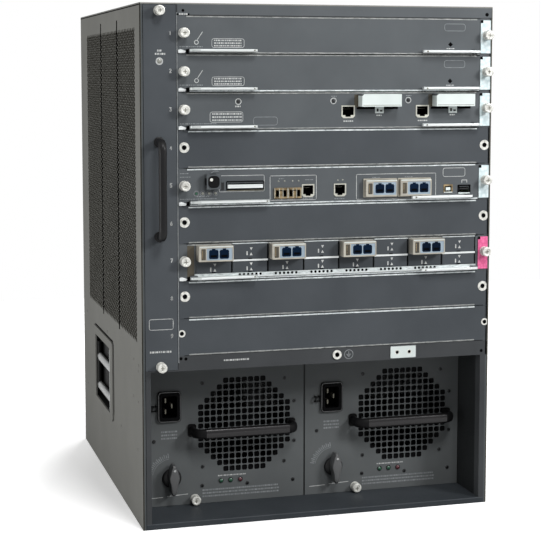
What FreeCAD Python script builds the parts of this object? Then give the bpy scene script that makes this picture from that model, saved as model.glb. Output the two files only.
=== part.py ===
import FreeCAD, Part
import math
import os

# Fourteen-unit modular chassis switch. Pieces are drawn from the lower left corner of the front:
# X runs right, Y runs back from the front plane, Z runs up from the floor. save() moves every
# piece so that the origin is the centre of the footprint. All sizes are in millimetres.
# A name in _RISE is a height above the foot of a slot or of a power supply, and a name in _INSET
# is a distance in from the edge that carries the piece. The width is set here; the height follows
# from the slots and the depth from the three columns of fans, with the room behind them.

# ---- chassis envelope -------------------------------------------------------------------------
WIDTH = 440.0
BAY_TOP = 191.45
MID_BEAM_HEIGHT = 16.5
SLOT_COUNT = 9
SLOT_PITCH = 44.45
HEADER_HEIGHT = 14.3
CAGE_BOTTOM = BAY_TOP + MID_BEAM_HEIGHT
CAGE_TOP = CAGE_BOTTOM + SLOT_COUNT * SLOT_PITCH
HEIGHT = CAGE_TOP + HEADER_HEIGHT
SHEET = 1.5
INNER_SHEET = 1.2
SIDE_LIP = 3.7
GAP = 0.3
COVER_LIP = 10.5

# ---- fans and fan tray ------------------------------------------------------------------------
FAN_SIZE = 119.0
FAN_WALL = 3.0
FAN_BORE = FAN_SIZE - 2 * FAN_WALL
FAN_THICKNESS = 38.0
TRAY_FAN_THICKNESS = 36.6
FAN_SPACING = 7.5
FAN_PITCH = FAN_SIZE + FAN_SPACING
FAN_FRONT = 31.5
FAN_FIRST_Y = FAN_FRONT + FAN_SIZE / 2
FAN_FIELD_LIFT = 1.125
FAN_CENTRE_Z = (BAY_TOP + HEIGHT) / 2 + FAN_FIELD_LIFT
FAN_ROWS = 3
FAN_BLADES = 5
BLADE_PITCH = 63.0
BLADE_WIDTH = 26.0
BLADE_THICKNESS = 1.6
ROTOR_LENGTH = 26.0
STRUT_DEPTH = 6.0
STRUT_WIDTH = 18.0
STRUT_MARGIN = 1.0
BORE_SIDES = 12
HUB_RADIUS = 21.0
BLADE_CLEARANCE = 2.5
BLADE_RADIUS = FAN_BORE / 2 - BLADE_CLEARANCE
WINDOW_LIP = 4.5
WINDOW_MARGIN = FAN_BORE / 2 - WINDOW_LIP
TRAY_TAIL = 5.5
TRAY_BACK_GAP = 3.0
TRAY_DEPTH = FAN_FIRST_Y + (FAN_ROWS - 1) * FAN_PITCH + FAN_SIZE / 2 + TRAY_TAIL
WALL_DEPTH = TRAY_DEPTH + TRAY_BACK_GAP
REAR_SPACE = 50.0
DEPTH = WALL_DEPTH + REAR_SPACE
FAN_BAY_RIGHT = 43.2
TRAY_LEFT = SIDE_LIP + GAP
TRAY_RIGHT = FAN_BAY_RIGHT - GAP
TRAY_SCREW_LOW = 4.7
TRAY_SCREW_HIGH = 7.0
TRAY_GRIP_X = 22.2
TRAY_GRIP_DROP = 2.0
TRAY_GRIP_LENGTH = 120.0
TRAY_GRIP_OUT = 25.0
TRAY_GRIP_BAR = 9.4
TRAY_GRIP_BEVEL = 6.0

# ---- card cage --------------------------------------------------------------------------------
CAGE_LEFT = FAN_BAY_RIGHT + SHEET
CAGE_RIGHT = WIDTH - SHEET
FRAME_DEPTH = 14.0
BACKPLANE_Y = WALL_DEPTH
BACKPLANE_THICKNESS = 3.2
BACKPLANE_TOP_GAP = 3.0
CONNECTOR_HEIGHT = 12.0
CONNECTOR_DEPTH = 7.0
CONNECTOR_LEFT_INSET = 65.3
CONNECTOR_RIGHT_INSET = 48.5
CONNECTOR_LEFT = CAGE_LEFT + CONNECTOR_LEFT_INSET
CONNECTOR_RIGHT = CAGE_RIGHT - CONNECTOR_RIGHT_INSET
CONNECTOR_GAP = 1.0
CARD_DEPTH = BACKPLANE_Y - CONNECTOR_DEPTH - CONNECTOR_GAP
CARD_PLUG_DEPTH = 8.0
CARD_FLANGE = 9.0
FLANGE_THICKNESS = 1.0
BOARD_RISE = 5.0
BOARD_THICKNESS = 2.0
LEDGE_WIDTH = 4.3
LEDGE_THICKNESS = 1.2
LEDGE_GAP = 0.1

# ---- card fronts ------------------------------------------------------------------------------
SCREW_RADIUS = 4.4
SCREW_HEIGHT = 8.0
SCREW_LIFT = 2.0
SCREW_RISE = SLOT_PITCH / 2 + SCREW_LIFT
SCREW_LEFT_INSET = 6.1
SCREW_RIGHT_INSET = 5.5
SCREW_LEFT = CAGE_LEFT + SCREW_LEFT_INSET
SCREW_RIGHT = CAGE_RIGHT - SCREW_RIGHT_INSET
END_PLATE_WIDTH = 13.6
END_PLATE_THICKNESS = 1.0
END_PLATE_INSET = 2.2
PIVOT_OUT = 5.2
PIVOT_LEFT_INSET = 17.3
PIVOT_RIGHT_INSET = 21.0
WIDE_PIVOT_SHIFT = 8.0
PIVOT_LEFT = CAGE_LEFT + PIVOT_LEFT_INSET
PIVOT_RIGHT = CAGE_RIGHT - PIVOT_RIGHT_INSET
WIDE_PIVOT_RIGHT = PIVOT_RIGHT - WIDE_PIVOT_SHIFT
LEVER_HUB = 4.5
LEVER_TIP = 2.6
LEVER_THICKNESS = 3.0
LEVER_RISE = 2.6
WIDE_LEVER_RISE = 3.4
LEFT_LEVER = 77.0
RIGHT_LEVER = 70.0
WIDE_LEFT_LEVER = 92.0
WIDE_RIGHT_LEVER = 75.0
EAR_THICKNESS = 0.9
EAR_WIDTH = 8.0
EAR_GAP = 0.15
SOCKET_WALL = 0.8
SOCKET_DEPTH = 14.0
SOCKET_CLEARANCE = 0.2

# ---- slot 3: jacks beside covered ports, placed from the right end of the cage -----------------
PORT_INSETS = (193.6, 98.2)
JACK_WIDTH = 17.1
JACK_HEIGHT = 15.2
JACK_RISE = 12.95
COVER_OFFSET = 21.5
COVER_WIDTH = 50.0
COVER_HEIGHT = 14.8
COVER_OUT = 15.0
COVER_TOP_GAP = 2.8
TAB_OFFSET = 21.5
TAB_WIDTH = 10.5
TAB_HEIGHT = 8.3
TAB_OUT = 0.8

# ---- slot 5: sockets as left edge, width, rise and height --------------------------------------
CONTROL_SOCKETS = ((116.6, 16.2, 7.25, 11.8), (133.6, 16.2, 7.25, 11.8), (150.9, 15.6, 7.65, 15.6))
READER = (59.5, 43.5, 20.25, 6.4)
READER_DEPTH = 40.0
BUTTON = (32.3, 17.2, 19.85, 17.8)
BUTTON_OUT = 8.0
EXTRA_JACK_SHIFT = 0.8
OPTIC_5_INSETS = (164.1, 119.7)
OPTIC_5_WIDTH = 40.5
OPTIC_5_RISE = 6.85
OPTIC_5_HEIGHT = 20.4
OPTIC_5_OUT = 6.0
# left edge counted from the right end of the cage
SERIAL_SOCKETS = ((60.3, 11.0, 9.65, 9.2), (40.7, 14.4, 9.85, 7.0))

# ---- slot 7: module cells ---------------------------------------------------------------------
CELL_INSET = 19.6
CELL_LEFT = CAGE_LEFT + CELL_INSET
CELL_COLUMNS = 8
CELL_END_GAP = 4.3
CELL_PITCH = (CAGE_RIGHT - GAP - END_PLATE_WIDTH - CELL_END_GAP - CELL_LEFT) / CELL_COLUMNS
CELL_BAR = 2.5
OPTIC_WIDTH = CELL_PITCH - CELL_BAR
OPTIC_7_OUT = 14.0
CELL_MARGIN = 1.2
SILL_RISE = 6.6
SILL_HEIGHT = 1.6
SILL_OUT = 1.6
LOWER_ROW_RISE = 8.6
DIVIDER_RISE = 22.6
DIVIDER_HEIGHT = 1.4
ROW_GAP = 0.2
UPPER_ROW_TOP_GAP = 1.45
FLAP_OUT = 1.2
FLAP_CLEARANCE = 0.3
OPTIC_LENGTH = 90.0
OPTIC_CLEARANCE = 0.3
WELL_LEFTS = (13.0, 25.0)
WELL_WIDTH = 10.0
WELL_DEPTH = 9.0
LATCH_LEFT = 4.0
LATCH_WIDTH = 3.5
LATCH_DEPTH = 4.0

# ---- blocks on the boards, all behind the modules -----------------------------------------------
BLOCK_GAP = 10.0
BLOCK_FRONT = OPTIC_LENGTH + BLOCK_GAP
CHIP_LEFTS = (45.3, 155.3, 265.3)
CHIP_SIZE = 60.0
CHIP_HEIGHT = 16.0
MEMORY_LEFT = 65.3
MEMORY_GAP = 70.0
MEMORY_FRONT = BLOCK_FRONT + CHIP_SIZE + MEMORY_GAP
MEMORY_WIDTH = 250.0
MEMORY_DEPTH = 70.0
MEMORY_HEIGHT = 10.0

# ---- power supply bay -------------------------------------------------------------------------
BAY_SIDE = 10.3
BAY_FLOOR = 7.0
BAY_RECESS = 68.0
DIVIDER = 0.8
SUPPLY_GAP = 0.6
SUPPLY_WIDTH = (WIDTH - 2 * BAY_SIDE - DIVIDER) / 2 - 2 * SUPPLY_GAP
SUPPLY_TAIL = 28.0
SUPPLY_DEPTH = DEPTH - BAY_RECESS - SUPPLY_TAIL
SUPPLY_HEIGHT = BAY_TOP - SHEET - BAY_FLOOR - 2 * GAP
GRILLE_PITCH = 9.2
GRILLE_HOLE = 7.0
GRILLE_COLUMNS = 13
GRILLE_STEPS = 4
GRILLE_INSET = 77.3
GRILLE_X = SUPPLY_WIDTH - GRILLE_INSET
GRILLE_RISE = 98.0
LAMP_OFFSETS = (-30.3, -18.0, -5.6)
LAMP_RISE = 27.2
LAMP_RADIUS = 2.2
LAMP_OUT = 1.2
SUPPLY_SCREW_OFFSET = -64.0
SUPPLY_SCREW_X = GRILLE_X + SUPPLY_SCREW_OFFSET
SUPPLY_SCREW_RISE = 6.5
INLET_X = 35.0
INLET_RISE = 125.0
INLET_WIDTH = 29.0
INLET_HEIGHT = 38.5
INLET_OUT = 3.0
INLET_NECK_WIDTH = 23.6
INLET_NECK_HEIGHT = 31.6
INLET_NECK_DEPTH = 20.0
INLET_WALL = 1.8
PIN_WIDTH = 2.0
PIN_HEIGHT = 7.0
CATCH_WIDTH = 8.0
CATCH_HEIGHT = 5.0
CATCH_OUT = 6.0
KNOB_X = 37.5
KNOB_RISE = 35.0
KNOB_DISC = 12.0
KNOB_DISC_OUT = 4.0
KNOB_OUT = 17.0
KNOB_REACH = 20.0
SUPPLY_GRIP_LENGTH = 137.0
SUPPLY_GRIP_SHIFT = -3.3
SUPPLY_GRIP_DROP = 4.5
SUPPLY_GRIP_RISE = GRILLE_RISE - SUPPLY_GRIP_DROP
SUPPLY_GRIP_OUT = 28.0
SUPPLY_GRIP_BAR = 9.0
SUPPLY_GRIP_HEIGHT = 13.0
SUPPLY_GRIP_BEND = 13.0
SUPPLY_GRIP_CHAMFER = 2.5
EXHAUST_ROWS = 3
EXHAUST_PITCH = 36.0
EXHAUST_SLOT = 16.0
EXHAUST_RISE = 42.0
EXHAUST_LEFT = 60.0
EXHAUST_INSET = 28.0

# ---- side vents and carry handles -------------------------------------------------------------
VENT_BAR = 6.5
VENT_WIDTH = FAN_PITCH - VENT_BAR
VENT_SLOT = 76.0
VENT_PITCH = 96.0
VENT_ROWS = 4
POCKET_FRONT = 225.0
POCKET_LENGTH = 118.0
POCKET_HEIGHT = 87.0
POCKET_DROP = 12.45
POCKET_TOP = BAY_TOP - POCKET_DROP
POCKET_BACK = POCKET_FRONT + POCKET_LENGTH
POCKET_BOTTOM = POCKET_TOP - POCKET_HEIGHT
POCKET_DEPTH = 7.3
POCKET_WALL = 0.8
BEZEL_THICKNESS = 2.2
BEZEL_CORNER = 5.0
BEZEL_MARGIN_FRONT = 22.0
BEZEL_MARGIN_UP = 11.0
BEZEL_MARGIN_DOWN = 8.0
BAIL_PIVOT_DROP = 11.0
BAIL_PIVOT_Z = POCKET_TOP - BAIL_PIVOT_DROP
BAIL_PIVOT_X = 3.2
BAIL_HUB = 3.0
BAIL_ARM = 12.0
BAIL_GRIP_RISE = 16.0
BAIL_BRIDGE_RISE = 50.0
BAIL_GRIP_Z = POCKET_BOTTOM + BAIL_GRIP_RISE
BAIL_BRIDGE_Z = POCKET_BOTTOM + BAIL_BRIDGE_RISE
BAIL_PIN = 1.5
BAIL_PIN_LENGTH = 3.0
PIN_CLEARANCE = 0.05

# ---- wrist strap jack and ground pad ----------------------------------------------------------
STRAP_JACK_INSET = 197.8
STRAP_JACK_X = CAGE_RIGHT - STRAP_JACK_INSET
STRAP_JACK_LIFT = 0.25
STRAP_JACK_Z = CAGE_BOTTOM - MID_BEAM_HEIGHT / 2 + STRAP_JACK_LIFT
STRAP_JACK_RING = 5.4
STRAP_JACK_RING_OUT = 1.2
STRAP_JACK_BODY = 4.0
STRAP_JACK_BORE = 2.05
STRAP_JACK_LENGTH = 12.0
STRAP_JACK_END = 1.5
GROUND_PAD_INSET = 112.0
GROUND_PAD_X = CAGE_RIGHT - GROUND_PAD_INSET
GROUND_PAD_DROP = 0.65
GROUND_PAD_Z = CAGE_BOTTOM - MID_BEAM_HEIGHT / 2 - GROUND_PAD_DROP
GROUND_PAD_WIDTH = 34.0
GROUND_PAD_MARGIN = 0.45
GROUND_PAD_HEIGHT = MID_BEAM_HEIGHT - 2 * GROUND_PAD_MARGIN
GROUND_PAD_OUT = 0.6
GROUND_SPACING = 15.9
GROUND_HOLE = 2.1

V = FreeCAD.Vector
CENTRE = V(-WIDTH / 2, -DEPTH / 2, 0)


# ---- small tools ------------------------------------------------------------------------------
def box(x0, x1, y0, y1, z0, z1):
    """Block between two corners."""
    return Part.makeBox(x1 - x0, y1 - y0, z1 - z0, V(x0, y0, z0))


def point(axis, u, v, w):
    """Point with u and v in the plane across an axis and w along it."""
    return {"x": V(w, u, v), "y": V(u, w, v), "z": V(u, v, w)}[axis]


def rect(u0, u1, v0, v1):
    """Corners of a rectangle in a section plane."""
    return [(u0, v0), (u1, v0), (u1, v1), (u0, v1)]


def centred(u, v, width, height):
    """Corners of a rectangle about its centre."""
    return rect(u - width / 2, u + width / 2, v - height / 2, v + height / 2)


def polygon(u, v, radius, sides, turn=0.5):
    """Corners of a regular polygon in a section plane."""
    angles = [2 * math.pi * (i + turn) / sides for i in range(sides)]
    return [(u + radius * math.cos(a), v + radius * math.sin(a)) for a in angles]


def wire(axis, at, shape):
    """Closed wire from a list of corners, or from (u, v, radius) for a circle."""
    if isinstance(shape, tuple):
        u, v, radius = shape
        return Part.Wire(Part.makeCircle(radius, point(axis, u, v, at), point(axis, 0, 0, 1)))
    corners = [point(axis, u, v, at) for u, v in shape]
    return Part.makePolygon(corners + corners[:1])


def extrude(axis, start, end, outline, holes=()):
    """Solid of a flat section with holes, drawn along an axis from start to end."""
    wires = [wire(axis, start, shape) for shape in (outline, *holes)]
    face = Part.makeFace(wires, "Part::FaceMakerBullseye")
    return face.extrude(point(axis, 0, 0, end - start))


def rod(axis, u, v, radius, start, end):
    """Round bar along an axis."""
    return extrude(axis, start, end, (u, v, radius))


def fuse(solids):
    """One solid from pieces that touch."""
    return solids[0].multiFuse(solids[1:]).removeSplitter()


def mirrored(shape):
    """Copy on the other side of the chassis."""
    return shape.mirror(V(WIDTH / 2, 0, 0), V(1, 0, 0))


def moved(shape, x=0.0, y=0.0, z=0.0):
    """Copy shifted by a distance along each axis."""
    copy = shape.copy()
    copy.translate(V(x, y, z))
    return copy


def save(node, solids):
    """Write one named sub-part, with its origin at the centre of the footprint."""
    shape = solids[0] if len(solids) == 1 else Part.makeCompound(solids)
    shape = moved(shape, CENTRE.x, CENTRE.y, CENTRE.z)
    if not shape.isValid():
        raise ValueError(node + " is not a valid shape")
    shape.exportStep("parts/" + node + ".step")


def slot_floor(slot):
    """Height of the lower edge of a slot, counted from one at the top."""
    return CAGE_TOP - slot * SLOT_PITCH


def captive_screw(x, z, face=0.0):
    """Knurled thumbscrew head that stands on a face."""
    return extrude("y", face - SCREW_HEIGHT, face, polygon(x, z, SCREW_RADIUS, 12))


# ---- chassis ----------------------------------------------------------------------------------
def fan_columns():
    """Depths of the columns of fans."""
    return [FAN_FIRST_Y + column * FAN_PITCH for column in range(FAN_ROWS)]


def vent_slots():
    """Windows of the air field, in one column for each column of fans."""
    first = FAN_CENTRE_Z - (VENT_ROWS - 1) * VENT_PITCH / 2
    heights = [first + row * VENT_PITCH for row in range(VENT_ROWS)]
    return [centred(y, z, VENT_WIDTH, VENT_SLOT) for y in fan_columns() for z in heights]


def side_panel(lip_top):
    """Left side of the case with its front lip, air field and handle window."""
    pocket = rect(POCKET_FRONT - POCKET_WALL, POCKET_BACK + POCKET_WALL,
                  POCKET_BOTTOM - POCKET_WALL, POCKET_TOP + POCKET_WALL)
    outline = rect(0, DEPTH, 0, HEIGHT - SHEET)
    plate = extrude("x", 0, SHEET, outline, vent_slots() + [pocket])
    lip = box(SHEET, SIDE_LIP, 0, SHEET, 0, lip_top)
    return fuse([plate, lip])


def top_cover():
    """Folded lid that lies on both sides."""
    plate = box(0, WIDTH, 0, DEPTH, HEIGHT - SHEET, HEIGHT)
    back = DEPTH - SHEET - GAP
    under = HEIGHT - SHEET
    lip = box(SHEET + GAP, WIDTH - SHEET - GAP, back - SHEET, back, under - COVER_LIP, under)
    return fuse([plate, lip])


def base_pan():
    """Double floor: bottom sheet and raised deck for the power supplies, open to the rear."""
    shell = box(SIDE_LIP, WIDTH - SIDE_LIP, 0, DEPTH - SHEET, 0, BAY_FLOOR)
    hollow = box(SIDE_LIP + SHEET, WIDTH - SIDE_LIP - SHEET, SHEET, DEPTH, SHEET, BAY_FLOOR - SHEET)
    return shell.cut(hollow)


def exhaust_slots(left, foot):
    """Exhaust slots behind a power supply, from its left edge and foot."""
    rises = [EXHAUST_RISE + row * EXHAUST_PITCH for row in range(EXHAUST_ROWS)]
    x0, x1 = left + EXHAUST_LEFT, left + SUPPLY_WIDTH - EXHAUST_INSET
    return [rect(x0, x1, foot + rise, foot + rise + EXHAUST_SLOT) for rise in rises]


def rear_panel():
    """Back of the case with exhaust slots behind each power supply."""
    slots = [slot for left in supply_lefts() for slot in exhaust_slots(left, BAY_FLOOR + GAP)]
    return extrude("y", DEPTH - SHEET, DEPTH, rect(SHEET, WIDTH - SHEET, 0, HEIGHT - SHEET), slots)


def front_frame():
    """Welded front: header, mid beam, fan bay stile and the posts beside the power bay."""
    stile_left, right = FAN_BAY_RIGHT, CAGE_RIGHT
    header = [(0, CAGE_TOP), (FRAME_DEPTH, CAGE_TOP), (FRAME_DEPTH, CAGE_TOP + SHEET),
              (SHEET, CAGE_TOP + SHEET), (SHEET, HEIGHT - SHEET), (0, HEIGHT - SHEET)]
    beam = [(0, BAY_TOP - SHEET), (FRAME_DEPTH, BAY_TOP - SHEET), (FRAME_DEPTH, BAY_TOP), (SHEET, BAY_TOP),
            (SHEET, CAGE_BOTTOM - SHEET), (FRAME_DEPTH, CAGE_BOTTOM - SHEET),
            (FRAME_DEPTH, CAGE_BOTTOM), (0, CAGE_BOTTOM)]
    stile = box(stile_left, CAGE_LEFT, 0, FRAME_DEPTH, BAY_TOP - SHEET, HEIGHT - SHEET)
    shelf_lip = box(SIDE_LIP, stile_left, 0, FRAME_DEPTH, BAY_TOP - SHEET, BAY_TOP)
    posts = [box(x, x + BAY_SIDE - SIDE_LIP, 0, FRAME_DEPTH, BAY_FLOOR, BAY_TOP - SHEET)
             for x in (SIDE_LIP, WIDTH - BAY_SIDE)]
    pad = extrude("y", -GROUND_PAD_OUT, 0,
                  centred(GROUND_PAD_X, GROUND_PAD_Z, GROUND_PAD_WIDTH, GROUND_PAD_HEIGHT))
    solid = fuse([extrude("x", stile_left, right, header), extrude("x", stile_left, right, beam),
                  stile, shelf_lip, pad] + posts)
    corner = box(WIDTH - SIDE_LIP, WIDTH, -1, SHEET, 0, BAY_TOP - SHEET)
    holes = [extrude("y", -1, SHEET + 1, polygon(STRAP_JACK_X, STRAP_JACK_Z, STRAP_JACK_BODY, 12))]
    for side in (-1, 1):
        holes.append(rod("y", GROUND_PAD_X + side * GROUND_SPACING / 2, GROUND_PAD_Z, GROUND_HOLE,
                         -1, SHEET + 1))
    return solid.cut(Part.makeCompound(holes)).cut(corner)


def power_shelf():
    """Shelf over the power bay with its two walls and centre divider."""
    top = BAY_TOP - SHEET
    back = DEPTH - SHEET - GAP
    plate = box(SHEET, WIDTH - SHEET, FRAME_DEPTH, back, top, BAY_TOP)
    walls = [box(x - INNER_SHEET, x, FRAME_DEPTH, back, BAY_FLOOR, top)
             for x in (BAY_SIDE, WIDTH - BAY_SIDE + INNER_SHEET)]
    middle = (WIDTH - DIVIDER) / 2
    divider = box(middle, middle + DIVIDER, BAY_RECESS, back, BAY_FLOOR, top)
    return fuse([plate, divider] + walls)


def field_reach():
    """Half the size of the square that holds all the fan windows."""
    return (FAN_ROWS - 1) * FAN_PITCH / 2 + WINDOW_MARGIN


def guide_wall(left, right, rail_left, rail_right):
    """Wall beside the cards, with a ledge for the edge of each board."""
    middle, side = fan_columns()[FAN_ROWS // 2], 2 * field_reach()
    outline = rect(FRAME_DEPTH, WALL_DEPTH, BAY_TOP, HEIGHT - SHEET)
    pieces = [extrude("x", left, right, outline, [centred(middle, FAN_CENTRE_Z, side, side)])]
    for slot in range(1, SLOT_COUNT + 1):
        top = slot_floor(slot) + BOARD_RISE - LEDGE_GAP
        back = BACKPLANE_Y - CONNECTOR_DEPTH
        pieces.append(box(rail_left, rail_right, FRAME_DEPTH, back, top - LEDGE_THICKNESS, top))
    return fuse(pieces)


def fan_bay_wall():
    """Wall between the fan tray and the cards."""
    return guide_wall(FAN_BAY_RIGHT, CAGE_LEFT, CAGE_LEFT, CAGE_LEFT + LEDGE_WIDTH)


def right_guide_wall():
    """Wall on the intake side of the cards."""
    left = CAGE_RIGHT - INNER_SHEET
    return guide_wall(left, CAGE_RIGHT, left - LEDGE_WIDTH, left)


def backplane():
    """Upright board with one connector row for each slot."""
    plate = box(FAN_BAY_RIGHT, CAGE_RIGHT, BACKPLANE_Y, BACKPLANE_Y + BACKPLANE_THICKNESS,
                BAY_TOP, HEIGHT - SHEET - BACKPLANE_TOP_GAP)
    rows = [plate]
    for slot in range(1, SLOT_COUNT + 1):
        z = slot_floor(slot) + BOARD_RISE + BOARD_THICKNESS
        rows.append(box(CONNECTOR_LEFT, CONNECTOR_RIGHT, BACKPLANE_Y - CONNECTOR_DEPTH, BACKPLANE_Y,
                        z, z + CONNECTOR_HEIGHT))
    return fuse(rows)


def handle_pocket():
    """Moulded recess for a carry handle, with its bezel outside the panel."""
    y0, y1 = POCKET_FRONT, POCKET_BACK
    z0, z1 = POCKET_BOTTOM, POCKET_TOP
    wall = POCKET_WALL
    tub = box(0, POCKET_DEPTH + SHEET, y0 - wall, y1 + wall, z0 - wall, z1 + wall)
    cavity = box(-BEZEL_THICKNESS - 1, POCKET_DEPTH + SHEET - wall, y0, y1, z0, z1)
    pins = extrude("y", y0 - wall, y1 + wall, polygon(BAIL_PIVOT_X, BAIL_PIVOT_Z, BAIL_PIN, 12))
    pin_gap = extrude("y", y0 + BAIL_PIN_LENGTH, y1 - BAIL_PIN_LENGTH,
                      centred(BAIL_PIVOT_X, BAIL_PIVOT_Z, 2 * BAIL_HUB, 2 * BAIL_HUB))
    return fuse([tub.fuse(bezel_blank()).cut(cavity), pins.cut(pin_gap)])


def bezel_blank():
    """Bezel plate with cropped corners."""
    y0, y1 = POCKET_FRONT - BEZEL_MARGIN_FRONT, POCKET_BACK + BEZEL_MARGIN_FRONT
    z0, z1 = POCKET_BOTTOM - BEZEL_MARGIN_DOWN, POCKET_TOP + BEZEL_MARGIN_UP
    crop = BEZEL_CORNER
    outline = [(y0 + crop, z0), (y1 - crop, z0), (y1, z0 + crop), (y1, z1 - crop),
               (y1 - crop, z1), (y0 + crop, z1), (y0, z1 - crop), (y0, z0 + crop)]
    return extrude("x", -BEZEL_THICKNESS, 0, outline)


def carry_handle():
    """Bail that hangs in its pocket and swings out."""
    y0, y1 = POCKET_FRONT + GAP, POCKET_BACK - GAP
    x0, x1 = BAIL_PIVOT_X - BAIL_HUB, BAIL_PIVOT_X + BAIL_HUB
    low, top = BAIL_GRIP_Z - BAIL_ARM / 2, BAIL_PIVOT_Z + BAIL_HUB
    crop = BAIL_HUB * math.tan(math.pi / 8)
    side = [(x0, low), (x1, low), (x1, BAIL_PIVOT_Z + crop), (BAIL_PIVOT_X + crop, top),
            (BAIL_PIVOT_X - crop, top), (x0, BAIL_PIVOT_Z + crop)]
    bore = (BAIL_PIVOT_X, BAIL_PIVOT_Z, BAIL_PIN + PIN_CLEARANCE)
    cheeks = [extrude("y", y, y + BAIL_ARM, side, [bore]) for y in (y0, y1 - BAIL_ARM)]
    bars = [box(x0, x1, y0 + BAIL_ARM, y1 - BAIL_ARM, z, z + BAIL_ARM) for z in (low, BAIL_BRIDGE_Z)]
    return fuse(cheeks + bars)


def strap_jack():
    """Banana jack for a wrist strap."""
    x, z = STRAP_JACK_X, STRAP_JACK_Z
    ring = extrude("y", -STRAP_JACK_RING_OUT, 0, polygon(x, z, STRAP_JACK_RING, 12))
    body = extrude("y", 0, STRAP_JACK_LENGTH, polygon(x, z, STRAP_JACK_BODY - PIN_CLEARANCE, 12))
    bore = extrude("y", -STRAP_JACK_RING_OUT - 1, STRAP_JACK_LENGTH - STRAP_JACK_END,
                   polygon(x, z, STRAP_JACK_BORE, 8))
    return fuse([ring, body]).cut(bore)


# ---- fan tray ---------------------------------------------------------------------------------
def fan_centres():
    """Places of the fans, row by row from the top front."""
    middle = FAN_ROWS // 2
    return [(y, FAN_CENTRE_Z + (middle - row) * FAN_PITCH) for row in range(FAN_ROWS) for y in fan_columns()]


def fan_tray_frame():
    """Front panel and folded carrier plate of the fan tray, with its two thumbscrews."""
    bottom, top = BAY_TOP + GAP, HEIGHT - SHEET - 2 * GAP
    web = TRAY_RIGHT - INNER_SHEET
    windows = [centred(y, FAN_CENTRE_Z, 2 * WINDOW_MARGIN, 2 * field_reach()) for y in fan_columns()]
    plate = extrude("x", web, TRAY_RIGHT, rect(SHEET, TRAY_DEPTH, bottom, top), windows)
    flanges = [box(TRAY_LEFT, web, SHEET, TRAY_DEPTH, z, z + INNER_SHEET)
               for z in (bottom, top - INNER_SHEET)]
    front = box(TRAY_LEFT, TRAY_RIGHT, 0, SHEET, bottom, top)
    screws = [captive_screw(TRAY_GRIP_X, z) for z in (bottom + TRAY_SCREW_LOW, top - TRAY_SCREW_HIGH)]
    return [fuse([front, plate] + flanges)] + screws


def fan_tray_grip():
    """Upright pull on the fan tray: a bar on two legs with bevelled corners."""
    out, bar, bevel = -TRAY_GRIP_OUT, TRAY_GRIP_BAR, TRAY_GRIP_BEVEL
    middle = FAN_CENTRE_Z - TRAY_GRIP_DROP
    low, high = middle - TRAY_GRIP_LENGTH / 2, middle + TRAY_GRIP_LENGTH / 2
    neck, fold = out + bevel + bar / 5, bar * 4 / 3
    outline = [(0, low), (out + bevel, low), (out, low + bevel), (out, high - bevel),
               (out + bevel, high), (0, high), (0, high - bar), (neck, high - bar),
               (out + bar, high - fold), (out + bar, low + fold), (neck, low + bar), (0, low + bar)]
    return extrude("x", TRAY_GRIP_X - bar / 2, TRAY_GRIP_X + bar / 2, outline)


def fan_housing(y, z):
    """Square fan frame with its bore, motor seat and strut."""
    right = TRAY_RIGHT - INNER_SHEET
    left = right - TRAY_FAN_THICKNESS
    bore = polygon(y, z, FAN_BORE / 2, BORE_SIDES)
    frame = extrude("x", left, right, centred(y, z, FAN_SIZE, FAN_SIZE), [bore])
    strut = extrude("x", right - STRUT_DEPTH, right, centred(y, z, FAN_SIZE - 2 * STRUT_MARGIN, STRUT_WIDTH))
    return fuse([frame, strut])


def rotor():
    """Hub with pitched blades about the X axis, its face at zero."""
    hub = extrude("x", 0, ROTOR_LENGTH, polygon(0, 0, HUB_RADIUS, 2 * FAN_BLADES, FAN_BLADES / 2 + 0.5))
    middle, half = ROTOR_LENGTH / 2, BLADE_THICKNESS / 2
    blades = []
    for index in range(FAN_BLADES):
        blade = box(middle - half, middle + half, -BLADE_WIDTH / 2, BLADE_WIDTH / 2,
                    HUB_RADIUS * 0.9, BLADE_RADIUS)
        blade.rotate(V(middle, 0, 0), V(0, 0, 1), BLADE_PITCH)
        blade.rotate(V(0, 0, 0), V(1, 0, 0), 360 * index / FAN_BLADES)
        blades.append(blade)
    return fuse([hub] + blades)


def fan_rotor(y, z):
    """Rotor that runs just off its motor seat."""
    strut_face = TRAY_RIGHT - INNER_SHEET - STRUT_DEPTH
    return moved(rotor(), strut_face - GAP - ROTOR_LENGTH, y, z)


# ---- power supplies ---------------------------------------------------------------------------
def supply_lefts():
    """Left edge of each power supply."""
    first = BAY_SIDE + SUPPLY_GAP
    return [first, WIDTH - first - SUPPLY_WIDTH]


def grille_holes(left, foot):
    """Square holes of the octagonal air grille."""
    half = GRILLE_COLUMNS // 2
    holes = []
    for row in range(-half, half + 1):
        reach = half - max(0, abs(row) - (half - GRILLE_STEPS))
        for column in range(-reach, reach + 1):
            x = left + GRILLE_X + column * GRILLE_PITCH
            z = foot + GRILLE_RISE + row * GRILLE_PITCH
            holes.append(centred(x, z, GRILLE_HOLE, GRILLE_HOLE))
    return holes


def supply_faceplate(left, foot):
    """Front of a power supply with its grille, inlet window, thumbscrew and lamps."""
    inlet = centred(left + INLET_X, foot + INLET_RISE, INLET_NECK_WIDTH + 2 * SOCKET_CLEARANCE,
                    INLET_NECK_HEIGHT + 2 * SOCKET_CLEARANCE)
    outline = rect(left, left + SUPPLY_WIDTH, foot, foot + SUPPLY_HEIGHT)
    plate = extrude("y", BAY_RECESS, BAY_RECESS + INNER_SHEET, outline, grille_holes(left, foot) + [inlet])
    lamps = [extrude("y", BAY_RECESS - LAMP_OUT, BAY_RECESS,
                     polygon(left + GRILLE_X + offset, foot + LAMP_RISE, LAMP_RADIUS, 8))
             for offset in LAMP_OFFSETS]
    return [plate, captive_screw(left + SUPPLY_SCREW_X, foot + SUPPLY_SCREW_RISE, BAY_RECESS)] + lamps


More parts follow.
